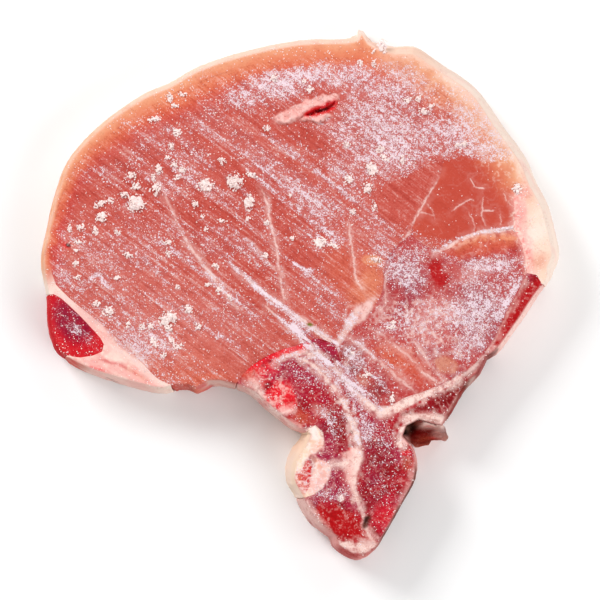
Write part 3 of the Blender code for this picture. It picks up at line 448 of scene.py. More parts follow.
class ChopColours(PropertyGroup):
    """Colours of the tissues, the ice and the floor."""

    lean: colour("Lean", 194, 82, 70, "Sawn lean of the loin eye")
    lean_pale: colour("Pale lean", 206, 110, 98, "Lighter lean near the belly")
    lean_deep: colour("Deep lean", 180, 62, 52, "Darker lean")
    lobe: colour("Lobe", 190, 72, 56, "Lean of the small lobe")
    crescent: colour("Crescent", 206, 88, 66, "Orange-red lean under the lobe")
    inner_bare: colour("Inner lean", 184, 62, 60, "Lean of the inner muscle")
    inner_purple: colour("Purple lean", 148, 46, 66, "Frozen purple lean")
    flank_rim: colour("Flank rim", 204, 22, 34, "Bright rim of the flank muscle")
    flank_deep: colour("Flank centre", 142, 4, 46, "Dark centre of the flank muscle")
    sinew: colour("Sinew", 240, 205, 198, "Connective tissue")
    fat_cream: colour("Cream fat", 249, 224, 210, "Palest fat")
    fat_straw: colour("Straw fat", 238, 184, 146, "Yellower fat close under the rind")
    fat_peach: colour("Peach fat", 230, 148, 110, "Middle of the back fat")
    fat_orange: colour("Orange fat", 218, 108, 76, "Fat where it meets the lean")
    fat_pink: colour("Pink fat", 244, 180, 172, "Fat stained by blood")
    rind: colour("Rind", 244, 224, 210, "Outer skin")
    cortical: colour("Bone wall", 250, 220, 210, "Dense wall of the bone")
    marrow: colour("Marrow", 176, 10, 32, "Red marrow")
    marrow_purple: colour("Frozen marrow", 158, 28, 66, "Purple frozen marrow")
    marrow_deep: colour("Deep marrow", 128, 2, 10, "Darkest marrow")
    marrow_bright: colour("Bright blood", 232, 30, 44, "Bright blood")
    red_wedge: colour("Wet red", 204, 2, 14, "Wet blood on the cartilage")
    crimson: colour("Crimson", 178, 0, 8, "Wet crimson bone")
    cartilage: colour("Cartilage", 249, 218, 192, "Disc cartilage")
    cartilage_pink: colour("Pink cartilage", 246, 192, 182, "Stained cartilage")
    tan: colour("Tan", 212, 142, 118, "Dried tan tissue")
    membrane: colour("Membrane", 222, 186, 176, "Thin membrane on the walls")
    # Dark brown: a brown pit on the bone. It is also painted shade on the vertebra's side walls and on the wall of
    # the canal notch, which lie in shadow.
    brown_and_wall_shade: colour("Dark brown", 92, 38, 26, "Brown pit and painted wall shade")
    # Black: small black specks and spots. It is also painted shade where a hole or slit is deep: on the floor of the
    # spinal canal and down the middle of the slit's mouth.
    black_speck_and_hole_shade: colour("Hollow", 24, 6, 6, "Bottom of a hole")
    herb: colour("Speck", 110, 108, 30, "Green speck")
    frost: colour("Frost", 240, 222, 231, "Frost on the sawn face")
    ice: colour("Ice", 255, 236, 230, "Loose ice crystals")
    floor: colour("Floor", 250, 250, 250, "Floor under the chop")


class ChopSizes(PropertyGroup):
    """Sizes of the details, in metres, and how many there are."""

    face_step: FloatProperty(
        name="Face step", description="Distance between points on the loin eye and the fat",
        default=0.335 * MM, min=0.2 * MM, soft_max=2 * MM, unit="LENGTH", precision=5,
    )
    fine_step: FloatProperty(
        name="Fine step", description="Distance between points on the smaller tissues",
        default=0.27 * MM, min=0.2 * MM, soft_max=2 * MM, unit="LENGTH", precision=5,
    )
    groove: FloatProperty(
        name="Saw groove", description="Depth of the saw marks",
        default=0.09 * MM, min=0.0, soft_max=MM, unit="LENGTH", precision=5,
    )
    crystal: FloatProperty(
        name="Crystal", description="Radius of a loose frost crystal",
        default=0.15 * MM, min=0.02 * MM, soft_max=MM, unit="LENGTH", precision=5,
    )
    crystals: IntProperty(
        name="Crystals", description="Number of loose frost crystals", default=22000, min=0,
    )
    crumb: FloatProperty(
        name="Crumb", description="Radius of a crumb of ice on and round a clump",
        default=0.27 * MM, min=0.05 * MM, soft_max=MM, unit="LENGTH", precision=5,
    )


def linear(gamma_colour):
    """A screen colour as the light it stands for."""
    screen = np.array(gamma_colour[:])
    return np.where(screen <= 0.04045, screen / 12.92, ((screen + 0.055) / 1.055) ** 2.4)


def paint_box():
    """Every colour setting by name, as light."""
    settings = bpy.context.scene.chop_colours
    names = ChopColours.__annotations__
    return {name: linear(getattr(settings, name)) for name in names}


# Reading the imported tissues


@lru_cache(maxsize=None)
def node_triangles(node):
    """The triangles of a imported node, in millimetres."""
    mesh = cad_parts[node].data
    mesh.calc_loop_triangles()
    points = np.empty(len(mesh.vertices) * 3)
    mesh.vertices.foreach_get("co", points)
    corners = np.empty(len(mesh.loop_triangles) * 3, dtype=np.int32)
    mesh.loop_triangles.foreach_get("vertices", corners)
    return (points.reshape(-1, 3) / MM)[corners].reshape(-1, 3, 3)


def crossing(low, high, height):
    """Where an edge meets a height, worked out the same way from either of its sides."""
    low, high = sorted((tuple(low), tuple(high)), key=lambda p: (p[2], p[0], p[1]))
    share = (height - low[2]) / (high[2] - low[2])
    return tuple(round(a + (b - a) * share, 4) for a, b in zip(low[:2], high[:2]))


@lru_cache(maxsize=None)
def sections(node, height):
    """The closed outlines of a node at a height, with the tissue on their left."""
    triangles = node_triangles(node)
    heights = triangles[:, :, 2]
    cut = triangles[(heights.min(1) < height) & (heights.max(1) > height)]
    following = {}
    for corners in cut:
        ends = []
        for a, b in ((0, 1), (1, 2), (2, 0)):
            if (corners[a][2] > height) != (corners[b][2] > height):
                ends.append(crossing(corners[a], corners[b], height))
        outward = np.cross(corners[1] - corners[0], corners[2] - corners[0])
        run = np.subtract(ends[1], ends[0])
        if run[0] * outward[1] - run[1] * outward[0] > 0:
            ends.reverse()
        if ends[0] != ends[1]:
            following[ends[0]] = ends[1]
    loops = []
    while following:
        start, here = following.popitem()
        loop = [start]
        while here != start and here in following:
            loop.append(here)
            here = following.pop(here)
        if len(loop) > 5:
            loops.append(np.array(loop))
    return sorted(loops, key=lambda loop: -np.ptp(loop[:, 0]))


def resampled(loop, step):
    """A closed loop as evenly spaced points, about a step apart."""
    closed = np.vstack((loop, loop[:1]))
    along = np.concatenate(([0.0], np.hypot(*np.diff(closed, axis=0).T).cumsum()))
    count = max(8, round(along[-1] / step))
    at = np.arange(count) * along[-1] / count
    return np.column_stack([np.interp(at, along, closed[:, axis]) for axis in (0, 1)])


def inside(points, loop):
    """Which of the points lie inside a loop."""
    hit = np.zeros(len(points), dtype=bool)
    for (ax, ay), (bx, by) in zip(loop, np.roll(loop, -1, 0)):
        spans = (ay > points[:, 1]) != (by > points[:, 1])
        at = ax + (points[:, 1] - ay) * (bx - ax) / (by - ay if by != ay else 1e-9)
        hit ^= spans & (points[:, 0] < at)
    return hit


def outward_normals(loop):
    """Unit directions out of an anticlockwise loop."""
    run = np.roll(loop, -1, 0) - np.roll(loop, 1, 0)
    normals = np.column_stack((run[:, 1], -run[:, 0]))
    return normals / np.maximum(np.hypot(*normals.T), 1e-9)[:, None]


def tree_of(points):
    tree = KDTree(len(points))
    for i, (x, y) in enumerate(points):
        tree.insert((x, y, 0.0), i)
    tree.balance()
    return tree


def nearest(tree, points):
    """For each point, how far the tree's nearest point is and which one it is."""
    found = [tree.find((x, y, 0.0)) for x, y in points]
    return np.array([hit[2] for hit in found]), np.array([hit[1] for hit in found])


def near_average(tree, points, values, reach):
    """The values averaged, for each point, over the tree's points within reach."""
    out = np.empty((len(points), values.shape[1]))
    for row, (x, y) in enumerate(points):
        close = [hit[1] for hit in tree.find_range((x, y, 0.0), reach)]
        out[row] = values[close].mean(0)
    return out


def ray_reach(starts, directions, loops, furthest):
    """How far out each ray meets the outermost of the loops, or zero where it meets none."""
    ends = [np.hstack((loop, np.roll(loop, -1, 0))) for loop in loops]
    ax, ay, bx, by = np.vstack(ends).T
    reach = np.zeros(len(starts))
    for i, ((px, py), (dx, dy)) in enumerate(zip(starts, directions)):
        ex, ey = bx - ax, by - ay
        across = dx * ey - dy * ex
        across = np.where(np.abs(across) < 1e-9, 1e-9, across)
        out = ((ax - px) * ey - (ay - py) * ex) / across
        share = ((ax - px) * dy - (ay - py) * dx) / across
        hits = out[(share >= 0) & (share <= 1) & (out > -1.5) & (out < furthest)]
        reach[i] = hits.max() if len(hits) else 0.0
    return reach


@lru_cache(maxsize=1)
def survey():
    """The rim of the whole chop: its points, outward directions and lean at every wall level."""
    face = THICKNESS - FACE_DEPTH
    loops = {name: resampled(sections(name, face)[0], RIM_ROUND) for name in TISSUES}
    points, normals = [], []
    for name, loop in loops.items():
        others = np.vstack([other for key, other in loops.items() if key != name])
        gap, _ = nearest(tree_of(others), loop)
        points.append(loop[gap > SEAM_REACH])
        normals.append(outward_normals(loop)[gap > SEAM_REACH])
    points, normals = np.vstack(points), np.vstack(normals)
    tree = tree_of(points)
    normals = near_average(tree, points, normals, RIM_REACH)
    normals /= np.maximum(np.hypot(*normals.T), 1e-9)[:, None]
    leans = []
    for share in WALL_SHARES:
        height = min(max(share * THICKNESS, FACE_DEPTH), face)
        level = [sections(name, height)[0] for name in TISSUES]
        leans.append(ray_reach(points, normals, level, 2 * RIM_REACH))
    leans = near_average(tree, points, np.array(leans).T, RIM_REACH / 2)
    return points, normals, leans, tree


# Patterns


def eased(values, start, end):
    """0 before start, 1 after end, and a soft step between them."""
    share = np.clip((values - start) / (end - start), 0.0, 1.0)
    return share * share * (3 - 2 * share)


@lru_cache(maxsize=None)
def random_lattice(seed):
    return np.random.default_rng(seed).uniform(-1.0, 1.0, (LATTICE, LATTICE))


def mottle(points, size, seed):
    """Smooth random values from -1 to 1 that change over about a size."""
    lattice = random_lattice(seed)
    at = points / size + LATTICE / 2
    cell = np.floor(at).astype(int)
    share = eased(at - cell, 0.0, 1.0)
    i, j = (cell % LATTICE).T
    k, m = ((cell + 1) % LATTICE).T
    left = lattice[i, j] * (1 - share[:, 1]) + lattice[i, m] * share[:, 1]
    right = lattice[k, j] * (1 - share[:, 1]) + lattice[k, m] * share[:, 1]
    return left * (1 - share[:, 0]) + right * share[:, 0]


def layered_mottle(points, size, seed, layers=3):
    """Mottles of halving size and strength added up."""
    total = sum(mottle(points, size / 2**i, seed + i) / 2**i for i in range(layers))
    return total / (2 - 2 ** (1 - layers))


def along_saw(points, stretch):
    """The points turned so that x runs along the saw marks, and shortened along them."""
    across = np.array((-SAW[1], SAW[0]))
    return np.column_stack((points @ SAW / stretch, points @ across))


def wobbled(points, amount, size, seed):
    """The points moved about a little, so that painted edges come out ragged."""
    shift = [layered_mottle(points, size, seed + 10 * axis) for axis in (0, 1)]
    return points + amount * np.column_stack(shift)


def curve_through(points, step=0.8):
    """A smooth open line through the points."""
    knots = np.array(points, float)
    knots = np.vstack((2 * knots[0] - knots[1], knots, 2 * knots[-1] - knots[-2]))
    line = []
    for a, b, c, d in zip(knots, knots[1:], knots[2:], knots[3:]):
        count = max(1, round(float(np.hypot(*(c - b))) / step))
        for t in np.arange(count) / count:
            line.append(
                0.5 * (2 * b + (c - a) * t + (2 * a - 5 * b + 4 * c - d) * t**2
                       + (3 * b - a - 3 * c + d) * t**3)
            )
    return np.array(line + [knots[-2]])


def band(points, line, half_widths, softness, taper=0.0):
    """1 inside a band along the line, fading to 0 outside it and, with a taper, at its ends."""
    line = curve_through(line)
    reach = max(half_widths) + softness
    low, high = line.min(0) - reach, line.max(0) + reach
    inside = ((points > low) & (points < high)).all(1)
    mask = np.zeros(len(points))
    here = points[inside]
    along = np.linspace(0.0, 1.0, len(line))
    widths = np.linspace(*half_widths, len(line))
    widths -= taper * (1 - eased(np.minimum(along, 1 - along), 0.0, 0.15))
    best = np.full(len(here), 1e9)
    for a, b, near_width, far_width in zip(line, line[1:], widths, widths[1:]):
        run = b - a
        share = np.clip((here - a) @ run / (run @ run), 0.0, 1.0)
        gap = np.hypot(*(here - a - share[:, None] * run).T)
        best = np.minimum(best, gap - near_width - share * (far_width - near_width))
    mask[inside] = 1 - eased(best, 0.0, softness)
    return mask


def patch(points, centre, radii, turn, edge):
    """1 inside an ellipse, fading to 0 over its edge, which is a share of its radii."""
    angle = math.radians(turn)
    x, y = (points - centre).T
    u = (x * math.cos(angle) + y * math.sin(angle)) / radii[0]
    v = (y * math.cos(angle) - x * math.sin(angle)) / radii[1]
    return 1 - eased(np.hypot(u, v), 1 - edge, 1 + edge / 2)


def field(points, outline, edge):
    """1 inside a closed outline, fading to 0 across its edge."""
    closed = [outline[-1], *outline, *outline[:2]]
    loop = resampled(curve_through(closed)[:-1], 0.3)
    loop = np.array(loop)
    low, high = loop.min(0) - edge, loop.max(0) + edge
    close = ((points > low) & (points < high)).all(1)
    here = points[close]
    distance = nearest(tree_of(loop), here)[0]
    signed = np.where(inside(here, loop), distance, -distance)
    mask = np.zeros(len(points))
    mask[close] = eased(signed, -edge / 2, edge / 2)
    return mask


class Canvas:
    """The surface of one tissue while it is painted: a colour, a frost cover and a wetness."""

    def __init__(self, points, side, ground):
        self.colours = paint_box()
        self.flat = points[:, :2]
        self.height = points[:, 2]
        self.side = side
        self.ragged = wobbled(self.flat, 0.35, 1.4, 41)
        self.rough = wobbled(self.flat, 1.3, 3.2, 61)
        self.gaps = eased(layered_mottle(self.flat, 1.2, 55), -0.1, 0.6)
        self.combed = eased(layered_mottle(along_saw(self.flat, 7.0), 0.7, 57), -0.5, 0.35)
        folded = np.column_stack((self.flat[:, 0] + 0.9 * self.height, self.flat[:, 1] - 0.9 * self.height))
        self.worn = layered_mottle(folded, 3.5, 231)
        self.wall = wobbled(folded, 3.0, 5.0, 233) - folded + self.flat
        self.light = np.tile(self.colours[ground], (len(points), 1))
        self.frost = np.zeros(len(points))
        self.wet = np.zeros(len(points))

    def lay(self, name, mask):
        """Cover with a colour, or add frost, or take it off with a negative mask."""
        if name == "frost":
            self.frost = np.where(
                mask >= 0, 1 - (1 - self.frost) * (1 - mask), self.frost * (1 + mask)
            )
        else:
            self.light += (self.colours[name] - self.light) * mask[:, None]

    def streaks(self, marks):
        """Bundles of frosty streaks that run along the saw marks."""
        for name, strength, half_widths, softness, line in marks:
            bundle = band(self.ragged, line, half_widths, softness, 0.4)
            self.lay(name, strength * bundle * self.combed * (1 - self.side))

    def bands(self, marks, taper=0.4, breaks=0.7, fringe=0.35, thin=1.0):
        """Ragged lines, each with a fainter and wider fringe."""
        for name, strength, half_widths, softness, line in marks:
            half_widths = [thin * width for width in half_widths]
            core = band(self.ragged, line, half_widths, thin * softness, taper)
            core *= 1 - breaks * self.gaps
            wide = [width + 0.5 for width in half_widths]
            loose = band(self.rough, line, wide, softness + 0.8, taper)
            loose *= fringe * (1 - self.gaps)
            self.lay(name, strength * np.maximum(core, loose) * (1 - self.side))

    def patches(self, marks, breaks=0.3):
        """Patches with a wandering edge and small gaps."""
        for name, strength, centre, radii, turn, edge in marks:
            where = self.rough if edge > 0.45 and max(radii) > 3 else self.ragged
            mask = strength * patch(where, centre, radii, turn, edge)
            self.lay(name, mask * (1 - breaks * self.gaps) * (1 - self.side))

    def fields(self, marks, breaks=0.2):
        """Closed shapes with a ragged edge."""
        for name, strength, edge, outline in marks:
            mask = strength * field(self.ragged, outline, edge)
            self.lay(name, mask * (1 - breaks * self.gaps) * (1 - self.side))

    def netting(self, name, strength, area, size, seed, width=0.12):
        """A fine net of thin threads over an area."""
        ridge = 1 - eased(np.abs(layered_mottle(self.ragged, size, seed)), 0.0, width)
        self.lay(name, strength * ridge * area * (1 - self.side))

    def walls(self, marks):
        """Patches on the side walls, worn unevenly up and down."""
        for name, strength, centre, radii, turn, edge in marks:
            mask = patch(self.wall, centre, radii, turn, edge)
            self.lay(name, strength * mask * self.side * (1 - 0.3 * eased(self.worn, 0.0, 0.6)))


# Building one tissue


def rim_pull(points, level_leans):
    """How far each loop point moves outward at each wall level, and how close it is to the rim."""
    rim_points, normals, leans, tree = survey()
    gap, which = nearest(tree, points)
    closeness = 1 - eased(gap, 0.0, RIM_REACH)
    return normals[which], leans[which] * level_leans, closeness, gap


def face_relief(points):
    """Height of the sawn face above its mean plane."""
    settings = bpy.context.scene.chop_sizes
    groove = settings.groove / MM
    grooves = groove * layered_mottle(along_saw(points, 16.0), 1.1, 11)
    swell = 0.12 * layered_mottle(points, 9.0, 21)
    grit = 0.07 * layered_mottle(points, 0.9, 31)
    ragged = wobbled(points, 0.9, 1.5, 51)
    lips = np.zeros(len(points))
    for centre, radii, turn in SLIT_LIPS:
        lips = np.maximum(lips, patch(ragged, centre, radii, turn, 0.3))
    lips *= 0.9 + 0.9 * layered_mottle(points, 1.1, 71)
    mouth = band(wobbled(points, 0.4, 1.0, 73), SLIT_MOUTH, (0.1, 0.2), 0.8, 0.4)
    calm = 1 - eased(nearest(survey()[3], points)[0], 0.3, 1.2)
    return (grooves + swell + grit) * (1 - 0.8 * calm) + 0.9 * lips - 2.2 * mouth


def wall_relief(points, seed):
    """How far the side walls swell and pucker."""
    folded = np.column_stack((points[:, 0] + 0.8 * points[:, 2], points[:, 1] + 0.6 * points[:, 2]))
    return 0.22 * layered_mottle(folded, 3.0, seed) + 0.08 * layered_mottle(folded, 0.8, seed + 5)


def tissue_rings(loop, step):
    """Rings of points from the resting face up to the sawn face, all of one count."""
    ring = resampled(loop, step)
    normals = outward_normals(ring)
    directions, leans, closeness, gap = rim_pull(ring, 1.0)
    seam = eased(SEAM_REACH - gap, -0.2, 0.2)
    ring = ring + normals * JOINING * (1 - seam)[:, None]
    rings = []
    for share, lean in zip(WALL_SHARES, leans.T):
        height = share * THICKNESS
        flat = ring + directions * (lean * closeness)[:, None]
        points = np.column_stack((flat, np.full(len(flat), height)))
        swell = wall_relief(points, 81) * closeness * math.sin(math.pi * min(1.0, share + 0.1))
        points[:, :2] += directions * swell[:, None]
        rings.append(points)
    near_rim = 1 - eased(gap, 0.0, 2 * RIM_ROUND)
    for turn in RIM_TURNS:
        angle = turn * math.pi / 2
        inset = RIM_ROUND * (1 - math.cos(angle)) * near_rim
        drop = RIM_ROUND * (1 - math.sin(angle)) * near_rim
        flat = ring - directions * inset[:, None]
        rings.append(np.column_stack((flat, THICKNESS - drop)))
    return rings


def face_points(loop, step):
    """Points of a staggered grid that lie inside the loop and clear of its edges."""
    low, high = loop.min(0), loop.max(0)
    rows = np.arange(low[1], high[1], step * math.sqrt(0.75))
    xs = np.arange(low[0], high[0], step)
    grid = np.vstack([np.column_stack((xs + (i % 2) * step / 2, np.full(len(xs), y)))
                      for i, y in enumerate(rows)])
    grid = grid[inside(grid, loop)]
    gap, _ = nearest(tree_of(loop), grid)
    return grid[gap > 0.7 * step]


def cover(ring, grid):
    """Triangles that fill a ring, and the flat points that they use."""
    points = [Vector(p) for p in np.vstack((ring, grid))]
    made = delaunay_2d_cdt(points, [], [list(range(len(ring)))], 1, 1e-5)
    where = {}
    for index, sources in enumerate(made[3]):
        where.update((source, index) for source in sources if source < len(ring))
    return np.array([tuple(p) for p in made[0]]), made[2], [where[i] for i in range(len(ring))]


def build_tissue(name, node, ground, paint, finish, step):
    """Rebuild one packed tissue as a fine painted mesh, and let it stand for its node."""
    step /= MM
    loop = sections(node, THICKNESS - FACE_DEPTH)[0]
    rings = tissue_rings(loop, step)
    face, face_triangles, rim = cover(rings[-1][:, :2], face_points(rings[-1][:, :2], step))
    base, base_triangles, foot = cover(rings[0][:, :2], face_points(rings[0][:, :2], BASE_STEP))
    count = len(rings[0])
    walls = rings[1:-1]
    points = np.vstack((
        np.column_stack((face, THICKNESS + face_relief(face))),
        np.column_stack((base, np.zeros(len(base)))),
        *walls,
    ))
    first = len(face) + len(base)
    levels = [[len(face) + i for i in foot]]
    levels += [list(range(first + k * count, first + (k + 1) * count)) for k in range(len(walls))]
    levels += [rim]
    polygons = [tuple(corners) for corners in face_triangles]
    polygons += [tuple(len(face) + i for i in reversed(corners)) for corners in base_triangles]
    for low, high in zip(levels, levels[1:]):
        low_next, high_next = low[1:] + low[:1], high[1:] + high[:1]
        polygons += list(zip(low, low_next, high_next, high))
    side = np.zeros(len(points))
    side[len(face):first] = 0.4
    rows = np.repeat(np.arange(1, len(walls) + 1), count)
    side[first:] = 1 - eased(rows, len(WALL_SHARES) - 0.5, len(rings) - 1.0)
    canvas = Canvas(points, side, ground)
    paint(canvas)
    piece = mesh_piece(name, points, polygons)
    store(piece, canvas)
    piece.data.materials.append(finish)
    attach(piece, "root")
    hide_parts(node)
    return piece


def mesh_piece(name, points, polygons, sharp_angle=60):
    """An object from points in millimetres, smooth but for edges sharper than an angle."""
    mesh = bpy.data.meshes.new(name)
    mesh.from_pydata((np.asarray(points) * MM).tolist(), [], polygons)
    mesh.shade_smooth()
    mesh.set_sharp_from_angle(angle=math.radians(sharp_angle))
    piece = bpy.data.objects.new(name, mesh)
    bpy.context.scene.collection.objects.link(piece)
    return piece


def store(piece, canvas):
    """Keep the painted surface on the mesh."""
    attributes = piece.data.attributes
    tone = attributes.new("tone", "FLOAT_COLOR", "POINT")
    opaque = np.ones(len(canvas.light))
    tone.data.foreach_set("color", np.column_stack((canvas.light, opaque)).ravel())
    for key, values in (("frost", canvas.frost), ("wet", canvas.wet), ("side", canvas.side)):
        attributes.new(key, "FLOAT", "POINT").data.foreach_set("value", values)


# Finishes


class Signal:
    """A socket of a finish that takes part in arithmetic."""

    def __init__(self, paint, socket):
        self.paint = paint
        self.socket = socket

    def _sum(self, operation, *terms):
        return self.paint.node("ShaderNodeMath", {"operation": operation}, dict(enumerate(terms)))

    def __add__(self, other):
        return self._sum("ADD", self, other)

    def __radd__(self, other):
        return self._sum("ADD", other, self)

    def __sub__(self, other):
        return self._sum("SUBTRACT", self, other)

    def __rsub__(self, other):
        return self._sum("SUBTRACT", other, self)

    def __mul__(self, other):
        return self._sum("MULTIPLY", self, other)

    def __rmul__(self, other):
        return self._sum("MULTIPLY", other, self)

    def over(self, other):
        """The larger of two values."""
        return self._sum("MAXIMUM", self, other)

    def step(self, start, end):
        """0 below start, 1 above end, and a soft step between them."""
        sockets = {"Value": self, "From Min": start, "From Max": end}
        return self.paint.node("ShaderNodeMapRange", {"interpolation_type": "SMOOTHSTEP"}, sockets)


class Finish:
    """A material, with one way to add a node to it."""

    def __init__(self, name):
        self.material = bpy.data.materials.new(name)
        self.material.use_nodes = True
        self.tree = self.material.node_tree
        self.tree.nodes.clear()

    def node(self, kind, settings=None, sockets=None, output=0):
        """Add a node of a kind: first its settings, then the values or links of its sockets."""
        made = self.tree.nodes.new(kind)
        for key, value in (settings or {}).items():
            setattr(made, key, value)
        for key, value in (sockets or {}).items():
            if isinstance(value, Signal):
                self.tree.links.new(value.socket, made.inputs[key])
            else:
                made.inputs[key].default_value = value
        return Signal(self, made.outputs[output])

    def attribute(self, name, is_colour=False):
        return self.node("ShaderNodeAttribute", {"attribute_name": name}, output=0 if is_colour else 2)

    def place(self, turn=0.0, stretch=1.0):
        """Positions on the object in millimetres, turned about Z and shortened along X."""
        where = self.node("ShaderNodeTexCoord", output=3)
        sockets = {"Vector": where, "Scale": (stretch * MM, MM, MM), "Rotation": (0.0, 0.0, turn)}
        return self.node("ShaderNodeMapping", {"vector_type": "TEXTURE"}, sockets)

    def noise(self, where, size, detail=2.0, roughness=0.5):
        sockets = {"Vector": where, "Scale": 1 / size, "Detail": detail, "Roughness": roughness}
        return self.node("ShaderNodeTexNoise", {}, sockets)

    def cells(self, where, size):
        """Distance from the nearest of scattered points, and a random value for each point."""
        sockets = {"Vector": where, "Scale": 1 / size}
        distance = self.node("ShaderNodeTexVoronoi", {}, sockets)
        chance = Signal(self, distance.socket.node.outputs["Color"])
        return distance, chance

    def mix(self, factor, first, second, blend="MIX"):
        """One colour laid over another."""
        settings = {"data_type": "RGBA", "blend_type": blend}
        return self.node("ShaderNodeMix", settings, {0: factor, 6: first, 7: second}, output=2)

    def finish(self, sockets, bump, bump_depth):
        """Close the material with a surface whose relief is a bump height."""
        normal = self.node(
            "ShaderNodeBump", {}, {"Height": bump, "Distance": bump_depth * MM, "Strength": 1.0}
        )
        sockets = {"Specular IOR Level": 0.15, **sockets, "Normal": normal}
        surface = self.node("ShaderNodeBsdfPrincipled", {}, sockets)
        output = self.tree.nodes.new("ShaderNodeOutputMaterial")
        self.tree.links.new(surface.socket, output.inputs["Surface"])
        return self.material


def rgba(light):
    return (*[float(v) for v in light], 1.0)


def flesh_finish(name, fibre, combing, frosting, gloss, veil=1.0):
    """A tissue: its painted tone with fibres, saw marks and a broken cover of frost."""
    colours = paint_box()
    finish = Finish(name)
    here = finish.place()
    face = 1 - finish.attribute("side")
    fibres = (finish.noise(finish.place(SAW_TURN, 9.0), 0.5, 3.0, 0.65) - 0.5) * face * combing
    combed = (finish.noise(finish.place(SAW_TURN, 40.0), 0.8, 3.0, 0.6) - 0.5) * face * combing
    tone = finish.attribute("tone", is_colour=True)
    fine = finish.noise(here, 0.5, 4.0, 0.65) - 0.5
    broad = finish.noise(here, 3.6, 3.0, 0.6) - 0.5
    shade = (fine * 1.2 + fibres * 0.7 + combed * 1.1 + broad * 0.8) * fibre
    dark = finish.mix(1.0, tone, (0.8, 0.6, 0.58, 1.0), "MULTIPLY")
    pale = finish.mix(0.4 * veil, tone, rgba(colours["sinew"]))
    flesh = finish.mix((shade * -1.0).step(0.0, 0.32), tone, dark)
    flesh = finish.mix(shade.step(0.02, 0.42), flesh, pale)
    density = finish.attribute("frost")
    dusted = density.step(0.0, 0.14) * frosting
    clusters = finish.noise(here, 1.3, 5.0, 0.75) - 0.5
    grains = finish.noise(here, 0.34, 2.0, 0.6) - 0.5
    level = density + clusters * 1.8 + grains * 1.9 + combed * 0.9
    cover = level.step(0.46, 0.82) * dusted
    distance, chance = finish.cells(here, 0.85)
    dots = (density * 0.32 + (chance - 0.5) * 0.6 - distance).step(0.0, 0.09) * dusted
    frost = cover.over(dots)
    haze = density.step(0.15, 1.0) * 0.16 * frosting * veil
    frosted = finish.mix(haze, flesh, rgba(colours["frost"]))
    frosted = finish.mix(frost * 0.88, frosted, rgba(colours["frost"]))
    rough = frost * 0.3 + fine * 0.2 + (1 - face) * 0.5 + gloss
    height = frost * 0.3 + combed * 0.5 + fibres * 0.3 + fine * 0.6 + broad * 0.3
    return finish.finish({"Base Color": frosted, "Roughness": rough}, height, 0.2)


def ice_finish(name):
    """Opaque white ice, a little uneven."""
    colours = paint_box()
    finish = Finish(name)
    here = finish.place()
    fine = finish.noise(here, 0.45, 3.0, 0.6)
    colour_of_ice = finish.mix((fine - 0.4) * 1.4, rgba(colours["ice"]), rgba(colours["frost"]))
    sockets = {"Base Color": colour_of_ice, "Roughness": (fine - 0.5) * 0.3 + 0.6}
    return finish.finish(sockets, fine, 0.12)


# Painting


def face_distance(canvas, node):
    """How far each point of the canvas is from another tissue's outline."""
    outline = resampled(sections(node, THICKNESS - FACE_DEPTH)[0], 0.4)
    return nearest(tree_of(outline), canvas.flat)[0]


def dust(canvas, base, spread):
    """The light frost that lies everywhere on the sawn face."""
    drifts = layered_mottle(along_saw(canvas.flat, 2.2), 5.5, 101)
    combed = layered_mottle(along_saw(canvas.flat, 18.0), 1.5, 105)
    comb = patch(canvas.flat, (-8, 26), (44, 28), math.degrees(SAW_TURN), 0.7)
    cover = np.clip(base + spread * drifts + 0.3 * comb * combed, 0.0, 1.0)
    canvas.lay("frost", cover * (1 - canvas.side))


def paint_rim_fat(canvas):
    """Fat along the back, the same on both sides of its seam: cream, straw, peach, then orange."""
    from_rim = nearest(survey()[3], canvas.flat)[0]
    x, y = canvas.flat.T
    face = 1 - canvas.side
    across = from_rim + 0.9 * layered_mottle(canvas.flat, 2.4, 121)
    across += 0.5 * layered_mottle(canvas.flat, 0.8, 125)
    right = eased(x, 18.0, 32.0) * eased(y, 22.0, 32.0) * face
    loin = eased(y, 1.0, 10.0) * (1 - eased(x, 18.0, 32.0)) * face
    width = 1.9 + 4.4 * eased(y, 14.0, 54.0)
    canvas.lay("flank_rim", 0.3 * loin * (1 - eased(across - width, 0.0, 5.0)))
    canvas.lay("fat_orange", 0.85 * loin * (1 - eased(across / width, 0.7, 1.6)))
    canvas.lay("fat_peach", 0.7 * loin * (1 - eased(across / width, 0.2, 1.1)))
    canvas.lay("fat_straw", 0.45 * loin * (1 - eased(across / width, 0.0, 0.5)))
    canvas.lay("fat_cream", loin * (1 - eased(from_rim, 0.2, 0.9)) * (0.25 + 0.6 * eased(y, 40.0, 58.0)))
    across += 1.6 * layered_mottle(canvas.flat, 3.0, 127)
    canvas.lay("fat_orange", 0.35 * right * (1 - eased(across, 6.0, 12.0)))
    canvas.lay("fat_peach", 0.6 * right * (1 - eased(across, 4.0, 10.0)))
    canvas.lay("fat_straw", 0.65 * right * (1 - eased(across, 1.6, 6.0)))
    canvas.lay("fat_cream", 0.65 * right * (1 - eased(across, 0.3, 3.0)))
    canvas.netting("fat_cream", 0.45, right * (1 - eased(across, 5.0, 12.0)), 1.5, 129, 0.12)


def spare_rim_frost(canvas):
    """Less frost on the orange fat of the loin."""
    from_rim = nearest(survey()[3], canvas.flat)[0]
    x, y = canvas.flat.T
    width = 1.9 + 4.4 * eased(y, 14.0, 54.0)
    loin = eased(y, 1.0, 10.0) * (1 - eased(x, 18.0, 32.0))
    canvas.frost *= 1 - 0.7 * loin * (1 - eased(from_rim / width, 0.9, 2.0))


